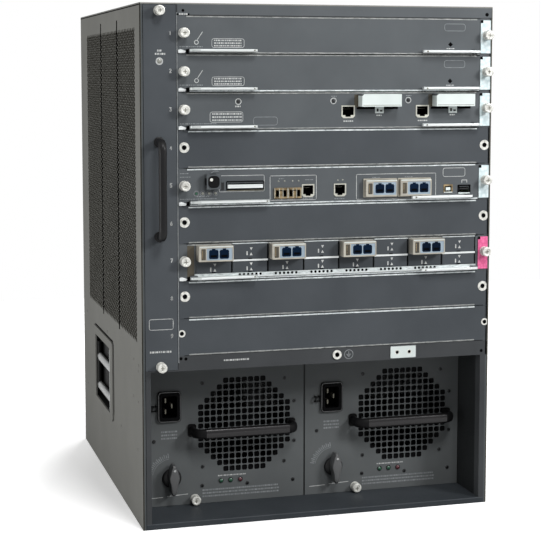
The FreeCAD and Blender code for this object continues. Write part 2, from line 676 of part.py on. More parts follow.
def supply_case(left, foot):
    """Sheet case behind the faceplate, with the fan frame inside it."""
    y0, y1 = BAY_RECESS + INNER_SHEET, BAY_RECESS + SUPPLY_DEPTH
    x0, x1 = left, left + SUPPLY_WIDTH
    z0, z1 = foot, foot + SUPPLY_HEIGHT
    shell = box(x0, x1, y0, y1, z0, z1)
    hollow = box(x0 + INNER_SHEET, x1 - INNER_SHEET, y0 - 1, y1 - INNER_SHEET,
                 z0 + INNER_SHEET, z1 - INNER_SHEET)
    exhaust = [extrude("y", y1 - INNER_SHEET - 1, y1 + 1, slot) for slot in exhaust_slots(left, foot)]
    x, z, half = left + GRILLE_X, foot + GRILLE_RISE, FAN_SIZE / 2
    back = y0 + FAN_THICKNESS
    frame = extrude("y", y0, back, rect(x - half, x + half, z0 + INNER_SHEET, z + half),
                    [polygon(x, z, FAN_BORE / 2, BORE_SIDES)])
    strut = extrude("y", back - STRUT_DEPTH, back, centred(x, z, FAN_SIZE - 2 * STRUT_MARGIN, STRUT_WIDTH))
    return [shell.cut(hollow).cut(Part.makeCompound(exhaust)), fuse([frame, strut])]


def supply_rotor(left, foot):
    """Fan rotor behind the grille, turned to blow along the depth."""
    turned = rotor()
    turned.rotate(V(0, 0, 0), V(0, 0, 1), 90)
    y = BAY_RECESS + INNER_SHEET + FAN_THICKNESS - STRUT_DEPTH - GAP - ROTOR_LENGTH
    return moved(turned, left + GRILLE_X, y, foot + GRILLE_RISE)


def bow_edges(x0, x1, out, radius):
    """Points along one side of a bow, from foot to foot."""
    steps = 4
    left = [(x0 + radius * (1 - math.cos(math.pi / 2 * i / steps)),
             out + radius * (1 - math.sin(math.pi / 2 * i / steps))) for i in range(steps + 1)]
    right = [(x0 + x1 - x, y) for x, y in left[::-1]]
    return [(x0, 0)] + left + right + [(x1, 0)]


def supply_grip(left, foot):
    """Bow pull across the grille, with rounded bends and bevelled edges."""
    middle = left + GRILLE_X + SUPPLY_GRIP_SHIFT
    x0, x1 = middle - SUPPLY_GRIP_LENGTH / 2, middle + SUPPLY_GRIP_LENGTH / 2
    out, bar, bend = -SUPPLY_GRIP_OUT, SUPPLY_GRIP_BAR, SUPPLY_GRIP_BEND
    outline = bow_edges(x0, x1, out, bend) + bow_edges(x0 + bar, x1 - bar, out + bar, bend - bar + 1)[::-1]
    z = foot + SUPPLY_GRIP_RISE
    grip = extrude("z", z - SUPPLY_GRIP_HEIGHT / 2, z + SUPPLY_GRIP_HEIGHT / 2, outline)
    edges = [edge for edge in grip.Edges if edge.BoundBox.XLength > SUPPLY_GRIP_LENGTH / 2]
    return moved(grip.makeChamfer(SUPPLY_GRIP_CHAMFER, edges), 0, BAY_RECESS, 0)


def supply_inlet(left, foot):
    """Appliance inlet: shroud, three blade pins and the cord catch beside it."""
    x, z, face = left + INLET_X, foot + INLET_RISE, BAY_RECESS
    bottom = face + INLET_NECK_DEPTH - INLET_OUT
    flange = extrude("y", face - INLET_OUT, face, centred(x, z, INLET_WIDTH, INLET_HEIGHT))
    neck = extrude("y", face, face + INLET_NECK_DEPTH, centred(x, z, INLET_NECK_WIDTH, INLET_NECK_HEIGHT))
    width, height = INLET_NECK_WIDTH - 2 * INLET_WALL, INLET_NECK_HEIGHT - 2 * INLET_WALL
    well = extrude("y", face - INLET_OUT - 1, bottom, centred(x, z, width, height))
    pins = [extrude("y", face + PIN_WIDTH, bottom, centred(x + dx, z + dz, PIN_WIDTH, PIN_HEIGHT))
            for dx, dz in ((-width / 5, height / 4), (-width / 5, -height / 4), (width / 5, 0))]
    edge = x - INLET_WIDTH / 2 - 1
    catch = box(edge - CATCH_WIDTH, edge, face - CATCH_OUT, face, z - CATCH_HEIGHT + 1, z + 1)
    return [flange.fuse(neck).cut(well), catch] + pins


def supply_switch(left, foot):
    """Rotary power knob with a pointed grip across its disc."""
    x, z, face = left + KNOB_X, foot + KNOB_RISE, BAY_RECESS - GAP
    reach, shoulder = KNOB_REACH, KNOB_REACH / 5
    disc = extrude("y", face - KNOB_DISC_OUT, face, polygon(x, z, KNOB_DISC, 16))
    bar = [(x - 3, z + reach), (x + 3, z + reach), (x + 7, z + shoulder), (x + 5, z - reach),
           (x - 5, z - reach), (x - 7, z + shoulder)]
    return fuse([disc, extrude("y", face - KNOB_OUT, face - KNOB_DISC_OUT, bar)])


# ---- cards ------------------------------------------------------------------------------------
def card_front(slot, windows=()):
    """Folded faceplate of a card or of a blank filler."""
    z0, z1 = slot_floor(slot) + GAP / 2, slot_floor(slot) + SLOT_PITCH - GAP / 2
    x0, x1 = CAGE_LEFT + GAP, CAGE_RIGHT - GAP
    plate = extrude("y", 0, INNER_SHEET, rect(x0, x1, z0, z1), windows)
    flanges = [box(x0, x1, INNER_SHEET, CARD_FLANGE, z, z + FLANGE_THICKNESS)
               for z in (z0, z1 - FLANGE_THICKNESS)]
    return fuse([plate] + flanges)


def ear_pair(slot, x, rise):
    """Bracket ears above and below a lever's hub."""
    low = slot_floor(slot) + rise - EAR_GAP
    high = low + LEVER_THICKNESS + 2 * EAR_GAP
    out = -PIVOT_OUT - LEVER_THICKNESS
    return [box(x - EAR_WIDTH / 2, x + EAR_WIDTH / 2, out, 0, z, z + EAR_THICKNESS)
            for z in (low - EAR_THICKNESS, high)]


def faceplate(slot, windows=(), right_pivot=PIVOT_RIGHT, rise=LEVER_RISE, extras=()):
    """Card front with the ears of both levers and whatever is welded to it."""
    ears = ear_pair(slot, PIVOT_LEFT, rise) + ear_pair(slot, right_pivot, rise)
    return fuse([card_front(slot, windows)] + ears + list(extras))


def board_top(slot):
    """Height of the upper side of a card's board."""
    return slot_floor(slot) + BOARD_RISE + BOARD_THICKNESS


def card_board(slot, chips=CHIP_LEFTS):
    """Circuit board with its heat sinks, memory block and backplane plug."""
    left, right = CAGE_LEFT + GAP, CAGE_RIGHT - INNER_SHEET - GAP
    top = board_top(slot)
    board = box(left, right, INNER_SHEET, CARD_DEPTH, top - BOARD_THICKNESS, top)
    plug = box(CONNECTOR_LEFT, CONNECTOR_RIGHT, CARD_DEPTH - CARD_PLUG_DEPTH, CARD_DEPTH,
               top, top + CONNECTOR_HEIGHT)
    memory = box(CAGE_LEFT + MEMORY_LEFT, CAGE_LEFT + MEMORY_LEFT + MEMORY_WIDTH,
                 MEMORY_FRONT, MEMORY_FRONT + MEMORY_DEPTH, top, top + MEMORY_HEIGHT)
    sinks = [box(CAGE_LEFT + x, CAGE_LEFT + x + CHIP_SIZE, BLOCK_FRONT, BLOCK_FRONT + CHIP_SIZE,
                 top, top + CHIP_HEIGHT) for x in chips]
    return [board, plug, memory] + sinks


def card_ends(slot):
    """Bright plate at the right end of a card, and the thumbscrews at both ends."""
    z = slot_floor(slot)
    right = CAGE_RIGHT - GAP
    plate = box(right - END_PLATE_WIDTH, right, -END_PLATE_THICKNESS, 0,
                z + END_PLATE_INSET, z + SLOT_PITCH - END_PLATE_INSET)
    return [plate, captive_screw(SCREW_LEFT, z + SCREW_RISE),
            captive_screw(SCREW_RIGHT, z + SCREW_RISE, -END_PLATE_THICKNESS)]


def socket(slot, left, width, rise, height, depth=SOCKET_DEPTH):
    """Open socket shell behind a faceplate, on a foot that stands on the board."""
    x0, x1, z0 = left, left + width, slot_floor(slot) + rise
    shell = box(x0, x1, 0, depth, z0, z0 + height)
    foot = box(x0, x1, INNER_SHEET, depth, board_top(slot), z0)
    wall = SOCKET_WALL
    return fuse([shell, foot]).cut(box(x0 + wall, x1 - wall, -1, depth - wall, z0 + wall, z0 + height - wall))


def window(slot, left, width, rise, height):
    """Faceplate window that clears a socket."""
    z, gap = slot_floor(slot) + rise, SOCKET_CLEARANCE
    return rect(left - gap, left + width + gap, z - gap, z + height + gap)


def plain_card(slot):
    """Card whose front is a blank plate between its levers."""
    return [faceplate(slot)] + card_ends(slot) + card_board(slot)


def port_card(slot):
    """Card with two network jacks beside two covered ports."""
    jacks = [(CAGE_RIGHT - inset, JACK_WIDTH, JACK_RISE, JACK_HEIGHT) for inset in PORT_INSETS]
    top = slot_floor(slot) + SLOT_PITCH - COVER_TOP_GAP
    foot = top - COVER_HEIGHT
    covers = []
    for inset in PORT_INSETS:
        x = CAGE_RIGHT - inset + COVER_OFFSET
        covers.append(box(x, x + COVER_WIDTH, -COVER_OUT, 0, foot, top))
        covers.append(box(x + TAB_OFFSET, x + TAB_OFFSET + TAB_WIDTH, -TAB_OUT, 0, foot - TAB_HEIGHT, foot))
    return ([faceplate(slot, [window(slot, *jack) for jack in jacks])] + card_ends(slot) + covers
            + [socket(slot, *jack) for jack in jacks] + card_board(slot))


def supervisor_sockets():
    """Sockets of the supervisor card as left edge, width, rise and height."""
    control = [(CAGE_LEFT + left, *size) for left, *size in CONTROL_SOCKETS]
    serial = [(CAGE_RIGHT - inset, *size) for inset, *size in SERIAL_SOCKETS]
    last_left, width, rise, height = control[-1]
    middle = (last_left + width + CAGE_RIGHT - OPTIC_5_INSETS[0]) / 2 + EXTRA_JACK_SHIFT
    return control + [(middle - width / 2, width, rise, height)] + serial


def supervisor_card(slot):
    """Card with control ports, memory card slot, fibre cages and serial sockets."""
    sockets = supervisor_sockets()
    reader = (CAGE_LEFT + READER[0],) + READER[1:]
    cages = [(CAGE_RIGHT - inset, OPTIC_5_WIDTH, OPTIC_5_RISE, OPTIC_5_HEIGHT) for inset in OPTIC_5_INSETS]
    windows = [window(slot, *edges) for edges in sockets + [reader]]
    floor = slot_floor(slot)
    windows += [rect(x, x + w, floor + rise, floor + rise + h) for x, w, rise, h in cages]
    left, width, rise, height = BUTTON
    x, z = CAGE_LEFT + left, floor + rise
    button = box(x, x + width, -BUTTON_OUT, 0, z, z + height)
    plate = faceplate(slot, windows, WIDE_PIVOT_RIGHT, WIDE_LEVER_RISE)
    return ([plate] + card_ends(slot) + [button, socket(slot, *reader, READER_DEPTH)]
            + [socket(slot, *edges) for edges in sockets] + card_board(slot, CHIP_LEFTS[:2]))


def optic_rows(slot):
    """Lower and upper row of cells, each as its foot and its top."""
    z = slot_floor(slot)
    return ((z + LOWER_ROW_RISE, z + DIVIDER_RISE - ROW_GAP),
            (z + DIVIDER_RISE + DIVIDER_HEIGHT + ROW_GAP, z + SLOT_PITCH - UPPER_ROW_TOP_GAP))


def optic_lefts():
    """Left edges of the cells that hold modules."""
    return [CELL_LEFT + column * CELL_PITCH for column in range(0, CELL_COLUMNS, 2)]


def optic_card(slot):
    """Card with sixteen module cells in two rows over a vented sill."""
    z = slot_floor(slot)
    lower, upper = optic_rows(slot)
    holes = [rect(x + CELL_MARGIN, x + CELL_MARGIN + OPTIC_WIDTH, *upper) for x in optic_lefts()]
    right = CELL_LEFT + CELL_COLUMNS * CELL_PITCH
    rails = [box(CELL_LEFT, right, -SILL_OUT, 0, z + rise, z + rise + height)
             for rise, height in ((SILL_RISE, SILL_HEIGHT), (DIVIDER_RISE, DIVIDER_HEIGHT))]
    flaps = []
    for column in range(CELL_COLUMNS):
        x = CELL_LEFT + column * CELL_PITCH + CELL_MARGIN
        for foot, top in (lower, upper) if column % 2 else (lower,):
            flaps.append(box(x, x + OPTIC_WIDTH, -FLAP_OUT, 0, foot + FLAP_CLEARANCE, top - FLAP_CLEARANCE))
    return [faceplate(slot, holes, extras=rails)] + card_ends(slot) + flaps + card_board(slot, ())


def optic_module(x0, x1, z0, z1, out):
    """Fibre module: a block with two square connector wells and a latch slot."""
    body = box(x0, x1, -out, OPTIC_LENGTH, z0, z1)
    middle = (z0 + z1) / 2
    cuts = [box(x0 + left, x0 + left + WELL_WIDTH, -out - 1, -out + WELL_DEPTH,
                middle - WELL_WIDTH / 2, middle + WELL_WIDTH / 2 - 1) for left in WELL_LEFTS]
    cuts.append(box(x0 + LATCH_LEFT, x0 + LATCH_LEFT + LATCH_WIDTH, -out - 1, -out + LATCH_DEPTH,
                    middle - WELL_WIDTH / 2 - 1, middle + WELL_WIDTH / 2))
    return body.cut(Part.makeCompound(cuts))


def wide_modules(slot):
    """Modules in the two cages of the supervisor card."""
    foot = slot_floor(slot) + OPTIC_5_RISE
    gap = OPTIC_CLEARANCE
    return [optic_module(CAGE_RIGHT - inset + gap, CAGE_RIGHT - inset + OPTIC_5_WIDTH - gap,
                         foot + gap, foot + OPTIC_5_HEIGHT - gap, OPTIC_5_OUT) for inset in OPTIC_5_INSETS]


def card_modules(slot):
    """Modules in the upper row of the optic card."""
    foot, top = optic_rows(slot)[1]
    gap = OPTIC_CLEARANCE
    return [optic_module(x + CELL_MARGIN + gap, x + CELL_MARGIN + OPTIC_WIDTH - gap, foot + gap, top - gap,
                         OPTIC_7_OUT) for x in optic_lefts()]


def lever(slot, x, rise, length, side):
    """Ejector lever along the foot of a faceplate; side is 1 when it points right."""
    z = slot_floor(slot) + rise
    hub = [(LEVER_HUB * math.cos(a), LEVER_HUB * math.sin(a))
           for a in (math.radians(d) for d in (90, 135, 180, 225, 270))]
    tip = [(length - 4, -LEVER_HUB), (length, -LEVER_HUB + 1.4), (length, LEVER_TIP), (length - 6, LEVER_HUB)]
    outline = [(x + side * u, -PIVOT_OUT + v) for u, v in hub + tip]
    return extrude("z", z, z + LEVER_THICKNESS, outline)


# rise, length of the left lever, pivot of the right lever and its length, for each card
LEVERS = {slot: (LEVER_RISE, LEFT_LEVER, PIVOT_RIGHT, RIGHT_LEVER) for slot in (1, 2, 3, 7)}
LEVERS[5] = (WIDE_LEVER_RISE, WIDE_LEFT_LEVER, WIDE_PIVOT_RIGHT, WIDE_RIGHT_LEVER)


# ---- assembly ---------------------------------------------------------------------------------
def save_chassis():
    """Write the pieces of the case."""
    save("left_side_panel", [side_panel(HEIGHT - SHEET)])
    save("right_side_panel", [mirrored(side_panel(BAY_TOP - SHEET))])
    save("top_cover", [top_cover()])
    save("base_pan", [base_pan()])
    save("rear_panel", [rear_panel()])
    save("front_frame", [front_frame()])
    save("power_shelf", [power_shelf()])
    save("fan_bay_wall", [fan_bay_wall()])
    save("right_guide_wall", [right_guide_wall()])
    save("backplane", [backplane()])
    save("esd_jack", [strap_jack()])
    save("left_handle_pocket", [handle_pocket()])
    save("right_handle_pocket", [mirrored(handle_pocket())])
    save("left_carry_handle", [carry_handle()])
    save("right_carry_handle", [mirrored(carry_handle())])


def save_fan_tray():
    """Write the fan tray and its nine fans."""
    save("fan_tray_frame", fan_tray_frame())
    save("fan_tray_grip", [fan_tray_grip()])
    save("fan_housings", [fan_housing(y, z) for y, z in fan_centres()])
    for number, (y, z) in enumerate(fan_centres(), 1):
        save("fan_rotor_%d" % number, [fan_rotor(y, z)])


def save_supplies():
    """Write both power supplies."""
    foot = BAY_FLOOR + GAP
    for name, left in zip(("left", "right"), supply_lefts()):
        save("psu_%s_faceplate" % name, supply_faceplate(left, foot))
        save("psu_%s_case" % name, supply_case(left, foot))
        save("psu_%s_grip" % name, [supply_grip(left, foot)])
        save("psu_%s_inlet" % name, supply_inlet(left, foot))
        save("psu_%s_switch" % name, [supply_switch(left, foot)])
        save("psu_%s_fan_rotor" % name, [supply_rotor(left, foot)])


def save_cards():
    """Write the cards, their levers and modules, and the blank fillers."""
    cards = {1: plain_card, 2: plain_card, 3: port_card, 5: supervisor_card, 7: optic_card}
    for slot in range(1, SLOT_COUNT + 1):
        if slot in cards:
            save("slot_%d_card" % slot, cards[slot](slot))
        else:
            save("slot_%d_filler" % slot, [card_front(slot)])
    for slot, (rise, left_length, right_pivot, right_length) in LEVERS.items():
        save("slot_%d_left_ejector" % slot, [lever(slot, PIVOT_LEFT, rise, left_length, 1)])
        save("slot_%d_right_ejector" % slot, [lever(slot, right_pivot, rise, right_length, -1)])
    save("slot_5_transceivers", wide_modules(5))
    save("slot_7_transceivers", card_modules(7))


def main():
    """Write every sub-part."""
    os.makedirs("parts", exist_ok=True)
    save_chassis()
    save_fan_tray()
    save_supplies()
    save_cards()


main()
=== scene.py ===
"""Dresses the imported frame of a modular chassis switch: nine card slots, fan tray and two power supplies.

Sizes are in millimetres from the lower left corner of the front: X runs right, Y runs back from the front
plane and Z runs up from the floor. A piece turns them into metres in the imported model's frame.
"""

import logging
import math
from dataclasses import dataclass
from enum import Enum
from functools import lru_cache
from typing import Sequence

import bmesh
import bpy
import numpy as np
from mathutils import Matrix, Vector


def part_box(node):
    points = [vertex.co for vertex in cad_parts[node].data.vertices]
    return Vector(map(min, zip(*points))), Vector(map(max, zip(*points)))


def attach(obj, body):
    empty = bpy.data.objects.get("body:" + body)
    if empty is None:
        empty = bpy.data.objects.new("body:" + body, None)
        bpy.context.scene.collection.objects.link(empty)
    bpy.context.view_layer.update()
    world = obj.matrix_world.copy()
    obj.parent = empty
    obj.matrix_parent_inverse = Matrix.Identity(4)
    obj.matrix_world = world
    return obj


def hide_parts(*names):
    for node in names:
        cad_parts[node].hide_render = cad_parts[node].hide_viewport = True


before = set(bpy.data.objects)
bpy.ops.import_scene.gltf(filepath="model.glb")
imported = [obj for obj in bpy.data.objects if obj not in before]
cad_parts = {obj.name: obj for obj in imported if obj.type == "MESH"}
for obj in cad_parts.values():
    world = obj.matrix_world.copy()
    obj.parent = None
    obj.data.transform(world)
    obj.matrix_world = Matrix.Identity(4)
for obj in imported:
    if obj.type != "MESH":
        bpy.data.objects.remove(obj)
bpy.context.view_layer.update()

LOG = logging.getLogger("chassis")
MM = 0.001
PRINT = 0.06
Rgb = tuple[int, int, int]
Point = tuple[float, float]
Rows = np.ndarray | Sequence[Sequence[float]]
Part = tuple[np.ndarray, list[np.ndarray]]
Socket = bpy.types.NodeSocket

PANEL_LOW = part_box("left_side_panel")[0]
DATUM = np.array([PANEL_LOW.x, PANEL_LOW.y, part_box("base_pan")[0].z])


def node_box(node: str) -> tuple[np.ndarray, np.ndarray]:
    """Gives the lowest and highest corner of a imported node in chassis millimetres.

    Args:
        node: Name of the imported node.

    Returns:
        The two corners as arrays of X, Y and Z.
    """
    low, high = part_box(node)
    return (np.array(low) - DATUM) / MM, (np.array(high) - DATUM) / MM


SIDE_GAP = 0.3
TOP_GAP = 0.15
WIDTH = float(node_box("right_side_panel")[1][0])
DEPTH = float(node_box("rear_panel")[1][1])
HEIGHT = float(node_box("top_cover")[1][2])
SLOT_PITCH = float(node_box("slot_1_card")[1][2] - node_box("slot_2_card")[1][2])
CAGE_LEFT = float(node_box("slot_4_filler")[0][0]) - SIDE_GAP
CAGE_RIGHT = float(node_box("slot_4_filler")[1][0]) + SIDE_GAP
CAGE_TOP = float(node_box("slot_1_card")[1][2]) + TOP_GAP


def slot_floor(slot: int) -> float:
    """Gives the height of the lower edge of a slot, counted from one at the top."""
    return CAGE_TOP - slot * SLOT_PITCH


class Side(Enum):
    """Left or right half of the chassis, seen from the front."""

    LEFT = "left"
    RIGHT = "right"

    @property
    def sign(self) -> int:
        """Gives 1 on the left and -1 on the right."""
        return 1 if self is Side.LEFT else -1


class Plane(Enum):
    """Order in which a flat drawing's two axes and its depth become X, Y and Z."""

    FRONT = (0, 2, 1)
    FLANK = (1, 2, 0)
    FLAT = (0, 1, 2)

    def place(self, u: np.ndarray, v: np.ndarray, w: np.ndarray) -> np.ndarray:
        """Lays drawing coordinates into space.

        Args:
            u: First coordinate of each point in the drawing.
            v: Second coordinate of each point in the drawing.
            w: Depth of each point across the drawing.

        Returns:
            One row of X, Y and Z for each point.
        """
        out = np.zeros((len(u), 3))
        for axis, values in zip(self.value, (u, v, w)):
            out[:, axis] = values
        return out


# ---- shapes -------------------------------------------------------------------------------------

BOX_CORNERS = np.array([(0, 0, 0), (1, 0, 0), (1, 1, 0), (0, 1, 0), (0, 0, 1), (1, 0, 1), (1, 1, 1),
                        (0, 1, 1)])
BOX_QUADS = np.array([[0, 3, 2, 1], [4, 5, 6, 7], [0, 1, 5, 4], [1, 2, 6, 5], [2, 3, 7, 6], [3, 0, 4, 7]])


def points(x: float | np.ndarray, y: float | np.ndarray, z: float | np.ndarray) -> np.ndarray:
    """Gives rows of X, Y and Z, each of which may be one value for all rows."""
    return np.stack(np.broadcast_arrays(x, y, z), 1)


def box_quads(count: int) -> np.ndarray:
    """Numbers the quads of so many boxes, each with eight corners of its own."""
    return (BOX_QUADS[None] + 8 * np.arange(count)[:, None, None]).reshape(-1, 4)


def tube_quads(rows: int, columns: int) -> np.ndarray:
    """Numbers the quads of rows of vertices that each close on themselves.

    Quad (i, j) joins vertex i * columns + j to its neighbour in the row and to the two below it in the next.

    Args:
        rows: Number of rows of vertices.
        columns: Number of vertices in a row.

    Returns:
        One row of four vertex numbers for each quad.
    """
    i, j = np.meshgrid(np.arange(rows - 1), np.arange(columns), indexing="ij")
    i, j = i.ravel(), j.ravel()
    k = (j + 1) % columns
    return np.stack([i * columns + j, i * columns + k, (i + 1) * columns + k, (i + 1) * columns + j], 1)


def tube_faces(rows: int, columns: int) -> list[np.ndarray]:
    """Numbers the quads of a tube and the cap at each end of it."""
    end = np.arange(columns)
    return [tube_quads(rows, columns), np.stack([end[::-1], end + (rows - 1) * columns])]


def block(low: Sequence[float], high: Sequence[float]) -> Part:
    """Makes a box between two corners."""
    return blocks([low], [high])


def blocks(lows: Rows, highs: Rows) -> Part:
    """Makes many boxes at once: the eight corners of each are the two values of each axis in turn.

    Args:
        lows: Lowest corner of each box.
        highs: Highest corner of each box.

    Returns:
        Vertices and faces of all the boxes.
    """
    ends = np.stack([np.asarray(lows, float), np.asarray(highs, float)], 1)
    verts = np.stack([ends[:, BOX_CORNERS[:, axis], axis] for axis in range(3)], 2).reshape(-1, 3)
    return verts, [box_quads(len(ends))]


def prism(outline: Rows, near: float, far: float, plane: Plane = Plane.FRONT) -> Part:
    """Carries a closed outline straight from one depth to another and caps both ends.

    Args:
        outline: Corners of the outline, one row of two coordinates each.
        near: Depth of the first cap.
        far: Depth of the second cap.
        plane: How the drawing lies in space.

    Returns:
        Vertices and faces of the prism.
    """
    flat = np.asarray(outline, float)
    depth = np.repeat([near, far], len(flat))
    return plane.place(*np.tile(flat, (2, 1)).T, depth), tube_faces(2, len(flat))


def collar(outer: np.ndarray, inner: np.ndarray, near: float, far: float, plane: Plane = Plane.FRONT) -> Part:
    """Makes a frame between two outlines with equal numbers of corners, carried from one depth to another.

    The section is a loop of four: outer near, outer far, inner far and inner near, and it closes on itself.

    Args:
        outer: Corners of the outer outline.
        inner: Corners of the opening, in the same order.
        near: Depth of the near face.
        far: Depth of the far face.
        plane: How the drawing lies in space.

    Returns:
        Vertices and faces of the frame.
    """
    count = len(outer)
    flat = np.concatenate([outer, outer, inner, inner])
    depth = np.repeat([near, far, far, near], count)
    return plane.place(*flat.T, depth), [tube_quads(5, count) % (4 * count)]


def turned(profile: Sequence[Point], centre: Point, plane: Plane = Plane.FRONT, sides: int = 24,
           flutes: int = 0, flute_depth: float = 0.0) -> Part:
    """Turns a profile of radius and depth about an axis, with flutes cut along it if asked for.

    Point (i, j) lies at the profile's radius i times one less the flute, at angle j: the flute is a cosine
    wave round the axis that takes up to flute_depth off the radius where the profile is at its widest.

    Args:
        profile: Radius and depth of each point, from one end of the axis to the other.
        centre: Place of the axis in the drawing.
        plane: How the drawing lies in space.
        sides: Number of points round the axis.
        flutes: Number of flutes round the axis.
        flute_depth: Depth of a flute.

    Returns:
        Vertices and faces of the turned shape, closed by a cap at each end.
    """
    radius, depth = np.array(profile, float).T
    angle = 2 * np.pi * np.arange(sides) / sides
    widest = (radius > 0.98 * radius.max())[:, None]
    reach = radius[:, None] - widest * flute_depth * (0.5 + 0.5 * np.cos(flutes * angle))[None]
    u = (centre[0] + reach * np.cos(angle)).ravel()
    v = (centre[1] + reach * np.sin(angle)).ravel()
    return plane.place(u, v, np.repeat(depth, sides)), tube_faces(len(radius), sides)


def ring(centre: Point, outer: float, inner: float, near: float, far: float, sides: int = 24) -> Part:
    """Makes a flat ring between two radii, as a frame between two regular outlines."""
    return collar(circle(centre, outer, sides), circle(centre, inner, sides), near, far)


def circle(centre: Point, radius: float, sides: int = 24) -> np.ndarray:
    """Gives the corners of a regular outline: the radius at equal angles round its centre."""
    angle = 2 * np.pi * (np.arange(sides) + 0.5) / sides
    return np.stack([centre[0] + radius * np.cos(angle), centre[1] + radius * np.sin(angle)], 1)


def rounded(u0: float, u1: float, v0: float, v1: float, radius: float, steps: int = 4) -> np.ndarray:
    """Gives a rectangle with rounded corners: a quarter circle about each corner's centre, in turn.

    Args:
        u0: Left edge.
        u1: Right edge.
        v0: Lower edge.
        v1: Upper edge.
        radius: Corner radius.
        steps: Pieces of each quarter circle.

    Returns:
        The corners, anticlockwise.
    """
    left, right, low, high = u0 + radius, u1 - radius, v0 + radius, v1 - radius
    centres = np.array([(right, high), (left, high), (left, low), (right, low)])
    angle = (np.pi / 2) * (np.arange(4)[:, None] + np.linspace(0, 1, steps + 1)[None])
    u = centres[:, :1] + radius * np.cos(angle)
    v = centres[:, 1:] + radius * np.sin(angle)
    return np.stack([u.ravel(), v.ravel()], 1)


def swept(path: np.ndarray, section: np.ndarray, normal: Sequence[float]) -> Part:
    """Carries a closed section along a flat path.

    At each point of the path the section's first axis lies along the path's normal, and its second axis lies
    across both the normal and the path's direction, which is the difference of the neighbouring points.

    Args:
        path: Points of the path.
        section: Corners of the section as distances along and across the normal.
        normal: Direction at right angles to the plane of the path.

    Returns:
        Vertices and faces of the bar, with a cap at each end.
    """
    path = np.asarray(path, float)
    along = np.gradient(path, axis=0)
    along /= np.linalg.norm(along, axis=1, keepdims=True)
    up = np.asarray(normal, float) / np.linalg.norm(normal)
    across = np.cross(along, up)
    verts = path[:, None] + section[None, :, :1] * up + section[None, :, 1:] * across[:, None]
    return verts.reshape(-1, 3), tube_faces(len(path), len(section))


def bowed(feet: tuple[Point, Point], out: float, bend: float, steps: int = 8) -> np.ndarray:
    """Gives the middle line of a bow pull: up one leg, round a bend, across, round a bend and down again.

    Args:
        feet: The two ends, as place along the bow and depth.
        out: Depth of the middle of the bar.
        bend: Radius of both bends.
        steps: Pieces of each bend.

    Returns:
        Points as place along the bow and depth.
    """
    (a, foot), (b, _) = feet
    turn = np.linspace(0, np.pi / 2, steps + 1)
    first = np.stack([a + bend * (1 - np.cos(turn)), out + bend * (1 - np.sin(turn))], 1)
    second = first[::-1] * [-1, 1] + [a + b, 0]
    leg = np.linspace(foot, out + bend, 4)[:-1]
    up, down = np.stack([np.full(3, a), leg], 1), np.stack([np.full(3, b), leg[::-1]], 1)
    return np.concatenate([up, first, second, down])


def oval(width: float, height: float, power: float = 2.6, sides: int = 20) -> np.ndarray:
    """Gives a rounded section: each axis is the cosine or sine raised to two over the power.

    Args:
        width: Width along the first axis.
        height: Width along the second axis.
        power: 2 for an ellipse, and more for a squarer section.
        sides: Number of corners.

    Returns:
        The corners.
    """
    angle = 2 * np.pi * np.arange(sides) / sides
    waves = np.stack([np.cos(angle), np.sin(angle)], 1)
    return np.array([width / 2, height / 2]) * np.sign(waves) * np.abs(waves) ** (2 / power)


def strokes(lines: Sequence[Sequence[Point]], width: float, near: float, far: float,
            plane: Plane = Plane.FRONT) -> Part:
    """Draws lines as thin raised bars, one box for each run between two points.

    A run's four corners are its two ends moved by half the width to each side, at right angles to the run,
    and each end reaches a quarter of the width past its point so that corners close.

    Args:
        lines: Lists of points, each drawn as one line.
        width: Width of the line.
        near: Depth of the bar's top.
        far: Depth of the bar's foot.
        plane: How the drawing lies in space.

    Returns:
        Vertices and faces of all the bars.
    """
    ends = [np.stack([np.asarray(line[:-1], float), np.asarray(line[1:], float)], 1) for line in lines]
    runs = np.concatenate(ends)
    along = runs[:, 1] - runs[:, 0]
    along /= np.linalg.norm(along, axis=1, keepdims=True)
    side = np.stack([-along[:, 1], along[:, 0]], 1) * width / 2
    tip = along * width / 4
    a, b = runs[:, 0] - tip, runs[:, 1] + tip
    flat = np.stack([a - side, b - side, b + side, a + side], 1)
    both = np.concatenate([flat, flat], 1).reshape(-1, 2)
    depth = np.tile(np.repeat([near, far], 4), len(runs))
    return plane.place(*both.T, depth), [box_quads(len(runs))]


def printed(lines: Sequence[Sequence[Point]], width: float, face: float = 0.0) -> Part:
    """Prints lines on a front, so that they stand out of it by the thickness of print."""
    return strokes(lines, width, face - PRINT, face)


class Weave(Enum):
    """How a pierced sheet's holes stand: in straight rows, or every second column half a row higher."""

    SQUARE = 4
    STAGGERED = 6


